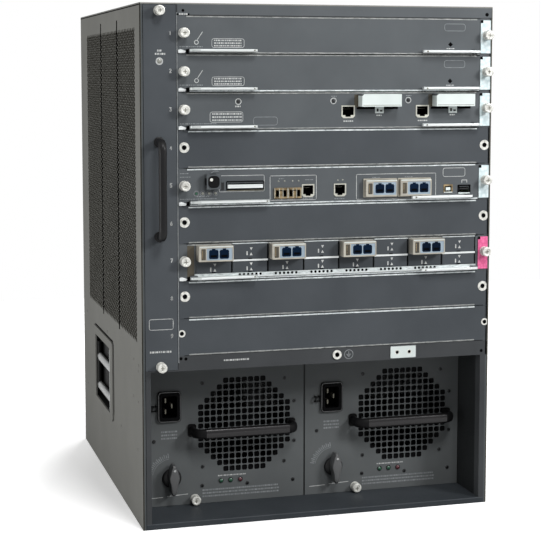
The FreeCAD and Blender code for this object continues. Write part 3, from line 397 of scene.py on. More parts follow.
def pierced_sheet(u: np.ndarray, v: np.ndarray, open_cells: np.ndarray, holes: np.ndarray, size: Point,
                  near: float, far: float, plane: Plane, weave: Weave,
                  sway: np.ndarray | float = 0.0) -> tuple[Part, Part]:
    """Makes a sheet with many holes from a grid of lines.

    Each cell of the grid is plain, open or pierced. A square hole takes one cell and has eight corners, a
    square with its corners cropped. A staggered hole takes a cell and the one above it and has six corners.
    The sheet round a hole is a ring of faces from the cells' own corners to the hole's. Both faces of the
    sheet are the same, and walls close the holes, the open cells and the outer edge.

    Args:
        u: Places of the grid's lines along the first axis.
        v: Places of the grid's lines along the second axis.
        open_cells: Whether each cell is open.
        holes: Column and row of each hole's lowest cell, one row each.
        size: Half the width and half the height of a hole.
        near: Depth of the first face.
        far: Depth of the second face.
        plane: How the drawing lies in space.
        weave: How the holes stand.
        sway: How far each crossing of the grid's lines is moved along the first axis.

    Returns:
        The sheet's two faces, and the walls of its holes and edges with the same vertices.
    """
    n, m = len(u), len(v)
    uu, vv = np.meshgrid(u, v, indexing="ij")
    uu = uu + sway
    i, j = holes.T
    cell = [0, m, m + 1, 1]
    if weave is Weave.SQUARE:
        around, tall = cell, 1
        middle_v = (v[j] + v[j + 1]) / 2
        c = 0.62
        shape = np.array([(-c, -1), (c, -1), (1, -c), (1, c), (c, 1), (-c, 1), (-1, c), (-1, -c)])
        ring_quads = np.array([[0, 1, 5, 4], [1, 2, 7, 6], [2, 3, 9, 8], [3, 0, 11, 10]])
        ring_tris = np.array([[1, 6, 5], [2, 8, 7], [3, 10, 9], [0, 4, 11]])
    else:
        around, tall = [0, m, m + 1, m + 2, 2, 1], 2
        middle_v = v[j + 1]
        shape = np.array([(-0.5, -1), (0.5, -1), (1, 0), (0.5, 1), (-0.5, 1), (-1, 0)])
        corner = np.arange(6)
        after = (corner + 1) % 6
        ring_quads = np.stack([corner, after, after + 6, corner + 6], 1)
        ring_tris = np.zeros((0, 3), int)
    middle_u = (u[i] + u[i + 1]) / 2
    corners = shape[None] * np.array(size) + np.stack([middle_u, middle_v], 1)[:, None]
    flat = np.concatenate([np.stack([uu.ravel(), vv.ravel()], 1), corners.reshape(-1, 2)])
    total = len(flat)
    pierced = np.zeros((n - 1, m - 1), bool)
    for step in range(tall):
        pierced[i, j + step] = True
    a, b = np.nonzero(~open_cells & ~pierced)
    plain = (a * m + b)[:, None] + cell
    count = len(shape)
    own = n * m + count * np.arange(len(holes))[:, None] + np.arange(count)[None]
    table = np.concatenate([(i * m + j)[:, None] + around, own], 1)
    quads = np.concatenate([plain, table[:, ring_quads].reshape(-1, 4)])
    cropped = table[:, ring_tris].reshape(-1, 3)
    after = np.roll(own, -1, axis=1)
    hole_walls = np.stack([own, after, after + total, own + total], 2).reshape(-1, 4)
    solid = np.pad(~open_cells, 1)
    edges = []
    for axis in (0, 1):
        change = np.diff(solid.astype(int), axis=axis)
        p, q = np.nonzero(change[:, 1:-1] if axis == 0 else change[1:-1])
        first = p * m + q
        second = first + (1 if axis == 0 else m)
        edges.append(np.stack([first, second, second + total, first + total], 1))
    faces = [quads, quads[:, ::-1] + total]
    if len(cropped):
        faces += [cropped, cropped[:, ::-1] + total]
    verts = plane.place(*np.concatenate([flat, flat]).T, np.repeat([near, far], total))
    return (verts, faces), (verts, [hole_walls, *edges])


def merged(parts: Sequence[Part]) -> Part:
    """Joins several parts into one, with the faces of each numbered on from those before it.

    Args:
        parts: The parts to join.

    Returns:
        Vertices and faces of the whole.
    """
    start, verts, faces = 0, [], []
    for corners, groups in parts:
        verts.append(corners)
        faces += [group + start for group in groups]
        start += len(corners)
    return np.concatenate(verts), faces


def flipped(part: Part) -> Part:
    """Gives the same part on the other side of the chassis: each X becomes the width less X."""
    verts, faces = part
    return verts * [-1, 1, 1] + [WIDTH, 0, 0], [group[:, ::-1] for group in faces]


# ---- finishes -----------------------------------------------------------------------------------


def linear(colour: Rgb) -> tuple[float, float, float, float]:
    """Turns a display colour into the linear one that shaders take, by the display curve, with full cover.

    Args:
        colour: Red, green and blue from 0 to 255.

    Returns:
        Linear red, green and blue, and 1.
    """
    parts = [c / 255 for c in colour]
    lin = [c / 12.92 if c <= 0.04045 else ((c + 0.055) / 1.055) ** 2.4 for c in parts]
    return lin[0], lin[1], lin[2], 1.0


def preset(node: bpy.types.Node, values: dict[str, object]) -> None:
    """Sets inputs of a node by their names."""
    for key, value in values.items():
        node.inputs[key].default_value = value


class Look:
    """Node tree of one material, open on its shader and on the piece's own coordinates."""

    def __init__(self, name: str, values: dict[str, object]) -> None:
        """Makes the material with its shader.

        Args:
            name: Name of the material.
            values: Inputs of the shader, by name.
        """
        self.material = bpy.data.materials.new(name)
        self.material.use_nodes = True
        self.nodes = self.material.node_tree.nodes
        self.links = self.material.node_tree.links
        self.shader = self.nodes["Principled BSDF"]
        preset(self.shader, values)
        self.coord = self.nodes.new("ShaderNodeTexCoord").outputs["Object"]

    def add(self, kind: str, values: dict[str, object], sockets: dict[str | int, Socket]) -> bpy.types.Node:
        """Adds a node.

        Args:
            kind: Kind of node, without the words that every kind starts with.
            values: Inputs that are set, by name.
            sockets: Sockets that are linked, by the input that each goes to.

        Returns:
            The node.
        """
        node = self.nodes.new(f"ShaderNode{kind}")
        preset(node, values)
        for key, socket in sockets.items():
            self.links.new(socket, node.inputs[key])
        return node

    def noise(self, scale: float, detail: float = 3.0, vector: Socket | None = None) -> Socket:
        """Adds cloudy noise with so many spots to a metre.

        Args:
            scale: Spots to a metre.
            detail: Octaves of finer noise.
            vector: Coordinates to read, or the piece's own.

        Returns:
            The noise value.
        """
        values = {"Scale": scale, "Detail": detail}
        return self.add("TexNoise", values, {"Vector": vector or self.coord}).outputs["Fac"]

    def ramp(self, value: Socket, stops: Sequence[tuple[float, Rgb]]) -> Socket:
        """Turns a value into a colour along a row of stops.

        Args:
            value: The value to read.
            stops: Place and display colour of each stop.

        Returns:
            The colour.
        """
        node = self.add("ValToRGB", {}, {"Fac": value})
        elements = node.color_ramp.elements
        while len(elements) < len(stops):
            elements.new(0.5)
        for element, (place, colour) in zip(elements, stops):
            element.position = place
            element.color = linear(colour)
        return node.outputs["Color"]

    def between(self, value: Socket, low: float, high: float, start: float = 0.3, end: float = 0.7) -> Socket:
        """Stretches a value from one range to another.

        Args:
            value: The value to read.
            low: Result at the start of the range.
            high: Result at the end of the range.
            start: Start of the range that is read.
            end: End of the range that is read.

        Returns:
            The stretched value.
        """
        values = {"From Min": start, "From Max": end, "To Min": low, "To Max": high}
        return self.add("MapRange", values, {"Value": value}).outputs["Result"]

    def dress(self, colour: Socket, fine: Socket, rough: Point, press: float = 0.0,
              relief: float = 0.0) -> bpy.types.Material:
        """Gives the shader its colour, and its roughness and relief from one fine value.

        Args:
            colour: The colour.
            fine: Value that the roughness and the relief follow.
            rough: Lowest and highest roughness.
            press: Strength of the relief from 0 to 1, or 0 for none.
            relief: Depth of the relief in metres.

        Returns:
            The material.
        """
        self.links.new(colour, self.shader.inputs["Base Color"])
        self.links.new(self.between(fine, *rough), self.shader.inputs["Roughness"])
        if press:
            bump = self.add("Bump", {"Strength": press, "Distance": relief}, {"Height": fine})
            self.links.new(bump.outputs["Normal"], self.shader.inputs["Normal"])
        return self.material


@dataclass(frozen=True)
class Coat:
    """Even finish, painted, moulded or plated: two close shades in soft clouds and a fine grain."""

    name: str
    light: Rgb
    dark: Rgb
    rough: Point = (0.42, 0.55)
    grain: float = 900.0
    relief: float = 0.00006
    cloud: float = 14.0
    metallic: float = 0.0
    specular: float = 0.5

    def shade(self, look: Look) -> Socket:
        """Gives the coat's colour in a material: soft clouds choose between its two shades."""
        return look.ramp(look.noise(self.cloud, 4.0), [(0.35, self.dark), (0.65, self.light)])

    def make(self) -> bpy.types.Material:
        """Makes the material: clouds choose the shade, and fine noise gives roughness and grain.

        Returns:
            The material.
        """
        look = Look(self.name, {"Metallic": self.metallic, "Specular IOR Level": self.specular})
        return look.dress(self.shade(look), look.noise(self.grain, 2.0), self.rough, 0.5, self.relief)


@dataclass(frozen=True)
class Brushed:
    """Bare metal with fine lines along one axis, worn brighter in places."""

    name: str
    light: Rgb
    dark: Rgb
    rough: Point = (0.22, 0.4)
    lines: tuple[float, float, float] = (6.0, 400.0, 900.0)
    metallic: float = 1.0

    def make(self) -> bpy.types.Material:
        """Makes the material: noise drawn out along one axis gives the lines, their wear and their relief.

        Returns:
            The material.
        """
        look = Look(self.name, {"Metallic": self.metallic})
        drawn_out = look.add("Mapping", {"Scale": self.lines}, {"Vector": look.coord})
        lines = look.noise(1.0, 3.0, drawn_out.outputs["Vector"])
        colour = look.ramp(lines, [(0.3, self.dark), (0.7, self.light)])
        return look.dress(colour, lines, self.rough, 0.35, 0.00004)


@dataclass(frozen=True)
class Mottled:
    """Plated face with soft-edged spots of a second shade, such as a chromate film."""

    name: str
    light: Rgb
    dark: Rgb
    spot: float = 260.0
    rough: Point = (0.3, 0.5)
    metallic: float = 0.0

    def make(self) -> bpy.types.Material:
        """Makes the material: cells choose between the two shades, and fine noise gives roughness and relief.

        Returns:
            The material.
        """
        look = Look(self.name, {"Metallic": self.metallic})
        cells = look.add("TexVoronoi", {"Scale": self.spot}, {"Vector": look.coord})
        colour = look.ramp(cells.outputs["Distance"], [(0.25, self.light), (0.75, self.dark)])
        return look.dress(colour, look.noise(self.spot * 3, 3.0), self.rough, 0.4, 0.00005)


@dataclass(frozen=True)
class Layered:
    """Piece with a coated front and a panelled body behind it, such as a faceplate and its green board."""

    name: str
    front: Coat
    body: tuple[Rgb, Rgb, Rgb]
    front_depth: float = 1.35
    seam: float = 0.2

    def make(self) -> bpy.types.Material:
        """Makes the material: depth behind the front plane chooses between the coat and the body's panels.

        Returns:
            The material.
        """
        look = Look(self.name, {"Specular IOR Level": self.front.specular})
        split = look.add("SeparateXYZ", {}, {"Vector": look.coord})
        edge = DATUM[1] + self.front_depth * MM
        depth = look.between(split.outputs["Y"], 0.0, 1.0, edge, edge + self.seam * MM)
        values = {key: linear(colour) for key, colour in zip(("Color1", "Color2", "Mortar"), self.body)}
        values |= {"Scale": 45.0, "Mortar Size": 0.03}
        panels = look.add("TexBrick", values, {"Vector": look.coord}).outputs["Color"]
        mix = look.add("Mix", {}, {})
        mix.data_type = "RGBA"
        for key, socket in (("Factor", depth), (6, self.front.shade(look)), (7, panels)):
            look.links.new(socket, mix.inputs[key])
        fine = look.noise(self.front.grain, 2.0)
        return look.dress(mix.outputs[2], fine, self.front.rough, 0.5, self.front.relief)


@dataclass(frozen=True)
class Lens:
    """Small lamp lens: tinted plastic that glows a little."""

    name: str
    colour: Rgb
    glow: float = 0.6

    def make(self) -> bpy.types.Material:
        """Makes the material: fine noise varies the tint, and the lens gives off some of its own colour.

        Returns:
            The material.
        """
        look = Look(self.name, {"Emission Color": linear(self.colour), "Emission Strength": self.glow})
        dark = tuple(int(c * 0.7) for c in self.colour)
        fine = look.noise(700.0, 2.0)
        colour = look.ramp(fine, [(0.3, dark), (0.7, self.colour)])
        return look.dress(colour, fine, (0.15, 0.25), 0.3, 0.00003)


Finish = Coat | Brushed | Mottled | Layered | Lens
Parts = list[tuple[Part, Finish]]


@lru_cache(maxsize=None)
def made(finish: Finish) -> bpy.types.Material:
    """Makes a finish's material once and gives the same one after that."""
    return finish.make()


CASE_GREY = Coat("case_grey_powder_coat", (139, 139, 135), (135, 135, 131), (0.6, 0.72), specular=0.0)
# Darker grey for the front lip of each side: painted shade in the step between the side and the front.
CASE_LIP_SHADE = Coat("case_edge_shade", (82, 86, 88), (74, 78, 80), (0.6, 0.72), specular=0.05)
HOLE_SHADE = Coat("hole_wall_shade", (82, 80, 72), (72, 70, 62), (0.6, 0.7), specular=0.1)
FRONT_GREY = Coat("front_grey_powder_coat", (86, 90, 93), (79, 83, 86), (0.42, 0.54), specular=0.15)
FILLER_GREY = Coat("filler_grey_powder_coat", (72, 76, 80), (65, 69, 73), (0.42, 0.54), specular=0.12)
TRAY_GREY = Coat("tray_grey_powder_coat", (76, 80, 84), (69, 73, 77), (0.42, 0.54), specular=0.1)
SUPPLY_GREY = Coat("supply_grey_coat", (94, 97, 98), (88, 91, 92), (0.45, 0.56), specular=0.1)
BASE_GREY = Coat("base_grey_powder_coat", (56, 60, 64), (48, 52, 56), (0.45, 0.56), specular=0.1)
BEAM_GREY = Coat("frame_grey_powder_coat", (66, 68, 70), (58, 60, 62), (0.45, 0.56), specular=0.1)
BAY_DARK = Coat("power_bay_shade", (32, 34, 35), (26, 28, 29), (0.5, 0.62), specular=0.2)
INNER_STEEL = Brushed("zinc_coated_steel", (120, 122, 122), (92, 94, 96), (0.35, 0.55))
BLACK_PLASTIC = Coat("moulded_black_plastic", (27, 27, 28), (19, 19, 20), (0.3, 0.42), 1500.0, 0.00008,
                     specular=0.15)
FAN_BLACK = Coat("fan_black_plastic", (12, 12, 13), (8, 8, 9), (0.5, 0.65), 900.0, 0.00008, specular=0.03)
RUBBER = Coat("black_rubber", (16, 16, 17), (10, 10, 11), (0.5, 0.65), 1800.0, 0.0001, specular=0.08)
TURNED, EVEN = (300.0, 60.0, 300.0), (200.0, 200.0, 200.0)
DRAWN, SHORT_LINES, RUBBED = (8.0, 400.0, 700.0), (40.0, 400.0, 700.0), (160.0, 300.0, 900.0)
NICKEL = Brushed("plated_screw_metal", (230, 230, 224), (178, 178, 172), (0.25, 0.42), TURNED, 0.2)
LEVER_WHITE = Brushed("bright_lever_metal", (232, 236, 236), (196, 200, 200), (0.3, 0.45), DRAWN, 0.3)
# Darker copy of the lever metal for the left levers: painted shade on the side away from the key lamp.
LEVER_SHADED = Brushed("lever_metal_painted_shade", (206, 210, 208), (160, 166, 166), (0.3, 0.45), SHORT_LINES, 0.3)
# Darker copy of the spring metal for strips on chosen slots: painted shade where they catch no light.
SPRING_SHADED = Brushed("spring_metal_painted_shade", (150, 152, 150), (100, 104, 104), (0.35, 0.5), RUBBED, 0.3)
SPRING_METAL = Brushed("spring_finger_metal", (222, 228, 228), (164, 172, 174), (0.25, 0.4), RUBBED, 0.3)
DULL_METAL = Brushed("dull_contact_metal", (112, 110, 98), (82, 80, 70), (0.4, 0.55), EVEN, 0.5)
PLATE_CYAN = Mottled("chromate_end_plate", (222, 234, 236), (192, 210, 213), 200.0)
PLATE_PINK = Mottled("magenta_end_plate", (232, 112, 160), (212, 84, 136), 320.0)
COVER_WHITE = Coat("port_cover_enamel", (216, 224, 222), (200, 209, 207), (0.3, 0.42))
SHELL_STONE = Coat("module_shell_grey", (178, 174, 162), (154, 150, 140), (0.32, 0.46), 700.0, 0.00005, 60.0,
                   0.25)
FACE_BLUE = Coat("pale_blue_face", (150, 166, 180), (134, 150, 164), (0.3, 0.42), 800.0, 0.00004, 40.0)
WELL_NAVY = Coat("navy_connector_well", (5, 26, 48), (2, 14, 30), (0.5, 0.65), specular=0.05)
LATCH_BROWN = Coat("brown_latch_slot", (62, 56, 42), (40, 36, 27), (0.5, 0.6))
CAGE_METAL = Brushed("cage_metal", (150, 132, 100), (98, 84, 60), (0.25, 0.42), EVEN, 0.6)
JACK_PALE = Coat("jack_shell_pale", (192, 192, 182), (166, 166, 156), (0.35, 0.5), 700.0, 0.00004, 60.0, 0.3)
# Near-black, mostly painted shade in holes, gaps, wells, liners and the backs of recesses and grooves; a few
# parts that are black take it too.
BLACK_AND_SHADE = Coat("black_and_painted_shade", (8, 8, 9), (4, 4, 5), (0.7, 0.8), specular=0.02)
INK = Coat("white_print", (196, 198, 196), (172, 174, 174), (0.5, 0.6), 1200.0, 0.00002, 200.0, specular=0.2)
FAINT_INK = Coat("grey_print", (140, 144, 146), (120, 124, 126), (0.5, 0.6), 1200.0, 0.00002, 200.0,
                 specular=0.2)
GUNMETAL = Brushed("polished_gunmetal", (38, 37, 38), (24, 23, 24), (0.16, 0.26), (6.0, 500.0, 500.0), 0.6)
KNOB_GREY = Coat("knob_moulded_grey", (74, 75, 76), (62, 63, 64), (0.34, 0.46), 1500.0, 0.00006)
TUB_BLACK = Coat("pocket_black_moulding", (15, 16, 16), (10, 11, 11), (0.5, 0.65), specular=0.05)
BAIL_GREY = Coat("bail_grey_moulding", (128, 131, 130), (112, 115, 114), (0.3, 0.42), 1200.0, 0.00004)
DARK_SCREW = Coat("black_oxide_screw", (40, 41, 42), (27, 28, 29), (0.35, 0.5), 800.0, 0.00004, 40.0, 0.6)
BOARD_GREEN = Coat("board_green_mask", (42, 92, 60), (30, 76, 48), (0.3, 0.42))
BOARD = ((34, 84, 54), (28, 74, 48), (96, 104, 60))
SUPPLY_BODY = ((120, 122, 122), (112, 114, 114), (84, 86, 86))
CARD = Layered("card_front_and_board", FRONT_GREY, BOARD)
BLANK = Layered("filler_front_and_back", FILLER_GREY, ((112, 114, 114), (104, 106, 106), (80, 82, 82)))
SUPPLY_CASE = Layered("supply_fan_frame_and_case", FAN_BLACK, SUPPLY_BODY, 107.4)
GREEN_LENS = Lens("green_lamp", (34, 84, 60), 0.05)
RED_LENS = Lens("red_lamp", (84, 24, 36), 0.05)
AMBER_LENS = Lens("amber_lamp", (150, 152, 144), 0.03)


# ---- pieces -------------------------------------------------------------------------------------


def placed(name: str, data: bpy.types.ID) -> bpy.types.Object:
    """Makes an object of a mesh, lamp or camera and puts it into the scene."""
    obj = bpy.data.objects.new(name, data)
    bpy.context.scene.collection.objects.link(obj)
    return obj


class Piece:
    """One named object of the dress: parts with their finishes, the body it rides on and its slot."""

    def __init__(self, name: str, body: str, slot: str, side: Side = Side.LEFT,
                 origin: Sequence[float] = (0.0, 0.0, 0.0)) -> None:
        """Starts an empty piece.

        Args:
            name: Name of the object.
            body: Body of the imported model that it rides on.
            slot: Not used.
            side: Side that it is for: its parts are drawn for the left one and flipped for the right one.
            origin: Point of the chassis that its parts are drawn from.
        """
        self.name, self.body, self.slot, self.side, self.origin = name, body, slot, side, origin
        self.parts: list[Part] = []
        self.finishes: list[Finish] = []
        self.marks: list[int] = []

    def add(self, *parts: tuple[Part, Finish]) -> "Piece":
        """Adds parts.

        Args:
            parts: Vertices and faces in millimetres from the piece's origin, each with its finish.

        Returns:
            The piece itself, so that calls can follow each other.
        """
        for (verts, faces), finish in parts:
            if finish not in self.finishes:
                self.finishes.append(finish)
            part = verts + self.origin, faces
            self.parts.append(part if self.side is Side.LEFT else flipped(part))
            self.marks.append(self.finishes.index(finish))
        return self

    def build(self, bevel: float = 0.0, smooth: float = 32.0, replaces: Sequence[str] = (),
              weld: bool = False) -> bpy.types.Object:
        """Makes the object, with its faces outward, and lets it ride on its body.

        Args:
            bevel: Width of the rounding on its edges, or 0 for none.
            smooth: Angle in degrees under which neighbouring faces shade as one.
            replaces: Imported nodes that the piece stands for.
            weld: Whether vertices at one place become one.

        Returns:
            The object.
        """
        verts, groups = merged(self.parts)
        faces = [face for group in groups for face in group.tolist()]
        marks = np.repeat(self.marks, [sum(len(group) for group in part[1]) for part in self.parts])
        mesh = bpy.data.meshes.new(self.name)
        mesh.from_pydata((verts * MM + DATUM).tolist(), [], faces)
        for finish in self.finishes:
            mesh.materials.append(made(finish))
        mesh.polygons.foreach_set("material_index", marks.astype(np.int32))
        shell = bmesh.new()
        shell.from_mesh(mesh)
        if weld:
            bmesh.ops.remove_doubles(shell, verts=shell.verts, dist=0.001 * MM)
        bmesh.ops.recalc_face_normals(shell, faces=shell.faces)
        shell.to_mesh(mesh)
        shell.free()
        mesh.polygons.foreach_set("use_smooth", np.ones(len(mesh.polygons), bool))
        mesh.set_sharp_from_angle(angle=math.radians(smooth))
        obj = placed(self.name, mesh)
        if bevel:
            modifier = obj.modifiers.new("edge", "BEVEL")
            modifier.width = bevel * MM
            modifier.segments = 2
            modifier.limit_method = "ANGLE"
            modifier.angle_limit = math.radians(40)
            modifier.harden_normals = True
        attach(obj, self.body)
        if replaces:
            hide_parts(*replaces)
        LOG.info("%s: %d faces on %s", self.name, len(faces), self.body)
        return obj


DIGITS: dict[int, list[list[Point]]] = {
    1: [[(0.2, 0.8), (0.5, 1), (0.5, 0)]],
    2: [[(0, 0.85), (0.3, 1), (0.8, 0.95), (0.9, 0.7), (0, 0), (1, 0)]],
    3: [[(0, 1), (0.9, 1), (0.4, 0.58), (0.9, 0.4), (0.85, 0.1), (0.4, 0), (0, 0.12)]],
    4: [[(0.75, 0), (0.75, 1), (0, 0.3), (1, 0.3)]],
    5: [[(0.95, 1), (0.1, 1), (0.05, 0.55), (0.6, 0.6), (0.95, 0.35), (0.7, 0), (0, 0.08)]],
    6: [[(0.8, 1), (0.3, 0.8), (0.05, 0.35), (0.3, 0), (0.8, 0.05), (0.95, 0.35), (0.6, 0.55), (0.1, 0.4)]],
    7: [[(0, 1), (1, 1), (0.4, 0)]],
    8: [[(0.5, 0.52), (0.1, 0.75), (0.5, 1), (0.9, 0.75), (0.5, 0.52), (0.05, 0.25), (0.5, 0), (0.95, 0.25),
         (0.5, 0.52)]],
    9: [[(0.2, 0), (0.7, 0.2), (0.95, 0.65), (0.7, 1), (0.2, 0.95), (0.05, 0.65), (0.4, 0.45), (0.9, 0.6)]],
}


def numeral(value: int, centre: Point, height: float, width: float) -> Part:
    """Prints a plain number on the front: its strokes, scaled about its centre.

    Args:
        value: Number from 1 to 9.
        centre: Middle of the number.
        height: Height of the number.
        width: Width of a stroke.

    Returns:
        Vertices and faces of the print.
    """
    (x, z), wide = centre, 0.55 * height
    lines = [[(x + (u - 0.5) * wide, z + (v - 0.5) * height) for u, v in line] for line in DIGITS[value]]
    return printed(lines, width)


def small_print(u0: float, u1: float, v0: float, v1: float, rows: int = 1, face: float = 0.0) -> Part:
    """Prints rows of short bars where the real one has small words.

    Bar k of a row is 1.8 long, give or take 0.9 by the sine of k, and follows the one before it after a gap.

    Args:
        u0: Left edge.
        u1: Right edge.
        v0: Lower edge.
        v1: Upper edge.
        rows: Number of rows.
        face: Depth of the surface under the print.

    Returns:
        Vertices and faces of the bars.
    """
    row, k = np.meshgrid(np.arange(rows), np.arange(int((u1 - u0) / 2.6)), indexing="ij")
    length = 1.8 + 0.9 * np.sin(2.4 * k + 1.7 * row)
    start = u0 + np.cumsum(length + 0.8, axis=1) - length
    step = (v1 - v0) / rows
    foot = v0 + (row + 0.25) * step
    low = points(np.minimum(start, u1 - 0.5).ravel(), face - 0.05, foot.ravel())
    high = points(np.minimum(start + length, u1).ravel(), face, (foot + 0.5 * step).ravel())
    return blocks(low, high)


def outline(u0: float, u1: float, v0: float, v1: float, radius: float = 1.5) -> list[Point]:
    """Gives a closed line round a rectangle with rounded corners."""
    corners = rounded(u0, u1, v0, v1, radius, 3)
    return [tuple(p) for p in np.concatenate([corners, corners[:1]]).tolist()]


def crossed(centre: Point, reach: float) -> list[list[Point]]:
    """Gives the two lines of an upright cross."""
    x, z = centre
    return [[(x - reach, z), (x + reach, z)], [(x, z - reach), (x, z + reach)]]


def thumbscrew(centre: Point, face: float, height: float = 11.0) -> Parts:
    """Makes a captive thumbscrew: flange, a neck in dark metal as painted shade under the head, and a fluted
    head with a dished face and a cross recess drawn dark as painted shade.

    Args:
        centre: Place of its axis on the front.
        face: Depth of the surface that it stands on.
        height: How far it stands out.

    Returns:
        The parts with their finishes.
    """
    top = face - height
    flange = [(4.45, face), (5.9, face), (6.0, face - 0.5), (5.7, face - 1.5), (4.45, face - 1.7)]
    # The neck and the cross are drawn in darker metal as painted shade.
    neck = [(4.6, face - 1.2), (4.7, face - 1.8), (4.7, face - 4.6), (4.6, face - 4.8)]
    head = [(4.6, face - 4.0), (5.6, face - 4.2), (6.0, face - 4.8), (6.0, top + 1.2), (5.5, top + 0.3),
            (4.3, top - 0.15), (3.7, top - 0.05), (3.3, top + 0.25), (0.6, top + 0.2)]
    return [(turned(flange, centre), NICKEL), (turned(neck, centre), DULL_METAL),
            (turned(head, centre, sides=48, flutes=24, flute_depth=0.35), NICKEL),
            (strokes(crossed(centre, 2.1), 0.8, top + 0.05, top + 0.3), DULL_METAL)]


def small_screw(centre: Point, face: float, radius: float) -> Parts:
    """Makes a low dark screw head with a cross recess on a front.

    Args:
        centre: Place of its axis on the front.
        face: Depth of the surface that it stands on.
        radius: Radius of the head.

    Returns:
        The parts with their finishes.
    """
    head = [(radius, face), (radius, face - 0.5), (radius * 0.8, face - 1.0), (radius * 0.3, face - 1.15)]
    return [(turned(head, centre, sides=16), DARK_SCREW),
            (strokes(crossed(centre, 1.1), 0.6, face - 1.25, face - 1.0), BLACK_AND_SHADE)]


# ---- case ---------------------------------------------------------------------------------------


@dataclass
class FlankPanel:
    """Side of the case: folded sheet with the staggered air field over three fans, and the handle window."""

    side: Side
    sheet: float = 1.5
    lip: float = 3.7
    field_low: float = 221.0
    field_high: float = 595.0
    field_columns: tuple[float, ...] = (31.5, 158.0, 284.5)
    field_length: float = 119.0
    hole_columns: int = 22
    hole_rows: int = 60
    hole: Point = (3.2, 2.76)
    groove: float = 7.1
    groove_ends: Point = (216.5, 607.0)
    window_edge: float = 20.0

    def groove_middles(self) -> list[float]:
        """Gives the middle of the groove between each field and the next."""
        return [(a + self.field_length + b) / 2 for a, b in zip(self.field_columns, self.field_columns[1:])]

    def sheet_parts(self) -> tuple[Part, Part]:
        """Makes the sheet: six-sided holes in three fields, a groove between fields, and the handle's window.

        The grid's lines bend to and fro by a sixth of a column, so that its cells are six-sided too.

        Returns:
            The two faces of the sheet, and the walls of its holes and edges.
        """
        step = self.field_length / self.hole_columns
        lines, starts = [0.0], []
        for start, middle in zip(self.field_columns, [*self.groove_middles(), None]):
            starts.append(len(lines))
            lines += [start + step * k for k in range(self.hole_columns + 1)]
            if middle:
                lines += [middle - self.groove / 2, middle + self.groove / 2]
        u = np.array(lines + [DEPTH])
        low, high = node_box("left_handle_pocket")
        half = (self.field_high - self.field_low) / self.hole_rows / 2
        inner = self.field_low + half * np.arange(2 * self.hole_rows + 1)
        below = [0.0, low[2] + 7.0, high[2] - 9.0, self.groove_ends[0]]
        v = np.concatenate([below, inner, [self.groove_ends[1], HEIGHT - self.sheet]])
        first = len(below)
        open_cells = np.zeros((len(u) - 1, len(v) - 1), bool)
        grooves = np.isclose(np.diff(u), self.groove) & (u[:-1] > self.field_columns[0])
        open_cells[grooves, first - 1:-1] = True
        window = (low[1] + self.window_edge, high[1] - self.window_edge)
        start, end = [int(np.argmin(abs(u - y))) for y in window]
        open_cells[start:end, 1] = True
        sway = np.zeros((len(u), len(v)))
        k, j = np.meshgrid(np.arange(self.hole_columns + 1), np.arange(len(inner)), indexing="ij")
        holes = []
        for start in starts:
            sway[start + k, first + j] = np.where((k + j) % 2, -step / 6, step / 6)
            holes += [(start + column, first + 2 * row + column % 2) for column in range(self.hole_columns)
                      for row in range(self.hole_rows - column % 2)]
        return pierced_sheet(u, v, open_cells, np.array(holes), self.hole, 0.0, self.sheet, Plane.FLANK,
                             Weave.STAGGERED, sway)

    def shades(self) -> list[Part]:
        """Makes painted shade: dark backs and walls in the grooves, and a dark line under the top cover where
        its edge throws shade.

        Returns:
            The parts.
        """
        middles, (low, high), half = self.groove_middles(), self.groove_ends, self.groove / 2
        backs = [block((self.sheet, y - 4.0, low - 0.5), (self.sheet + 0.3, y + 4.0, high + 0.5))
                 for y in middles]
        walls = [block((0.02, y - 0.06, low), (self.sheet, y + 0.06, high))
                 for middle in middles for y in (middle - half, middle + half)]
        line = block((-0.05, 0.6, HEIGHT - 3.0), (0.02, DEPTH - 0.6, HEIGHT - self.sheet - 0.1))
        return [*backs, *walls, line]

    def rivets(self) -> list[Part]:
        """Makes the low rivet heads round the foot of the panel.

        Returns:
            The parts.
        """
        places = ((55, 197), (22, 195), (26, 188), (58, 151), (26, 150), (149, 92), (32, 91), (32, 5.5),
                  (250, 197), (430, 197), (430, 92), (430, 12), (250, 12))
        head = [(1.9, 0.0), (1.9, -0.3), (1.2, -0.75), (0.3, -0.85)]
        return [turned(head, place, Plane.FLANK, 12) for place in places]

    def build(self) -> None:
        """Builds the panel with its front lip, darker as painted shade, and rivets."""
        faces, walls = self.sheet_parts()
        # The lip is painted darker as shade in the step beside the front.
        lip = block((self.sheet, 0, 0), (self.lip, self.sheet, HEIGHT - self.sheet))
        piece = Piece(f"{self.side.value}_flank_sheet", "chassis", "case_paint", self.side)
        piece.add((faces, CASE_GREY), (walls, HOLE_SHADE), *[(part, BLACK_AND_SHADE) for part in self.shades()])
        piece.add((lip, CASE_LIP_SHADE), *[(rivet, CASE_GREY) for rivet in self.rivets()])
        piece.build(replaces=(f"{self.side.value}_side_panel",), weld=True)


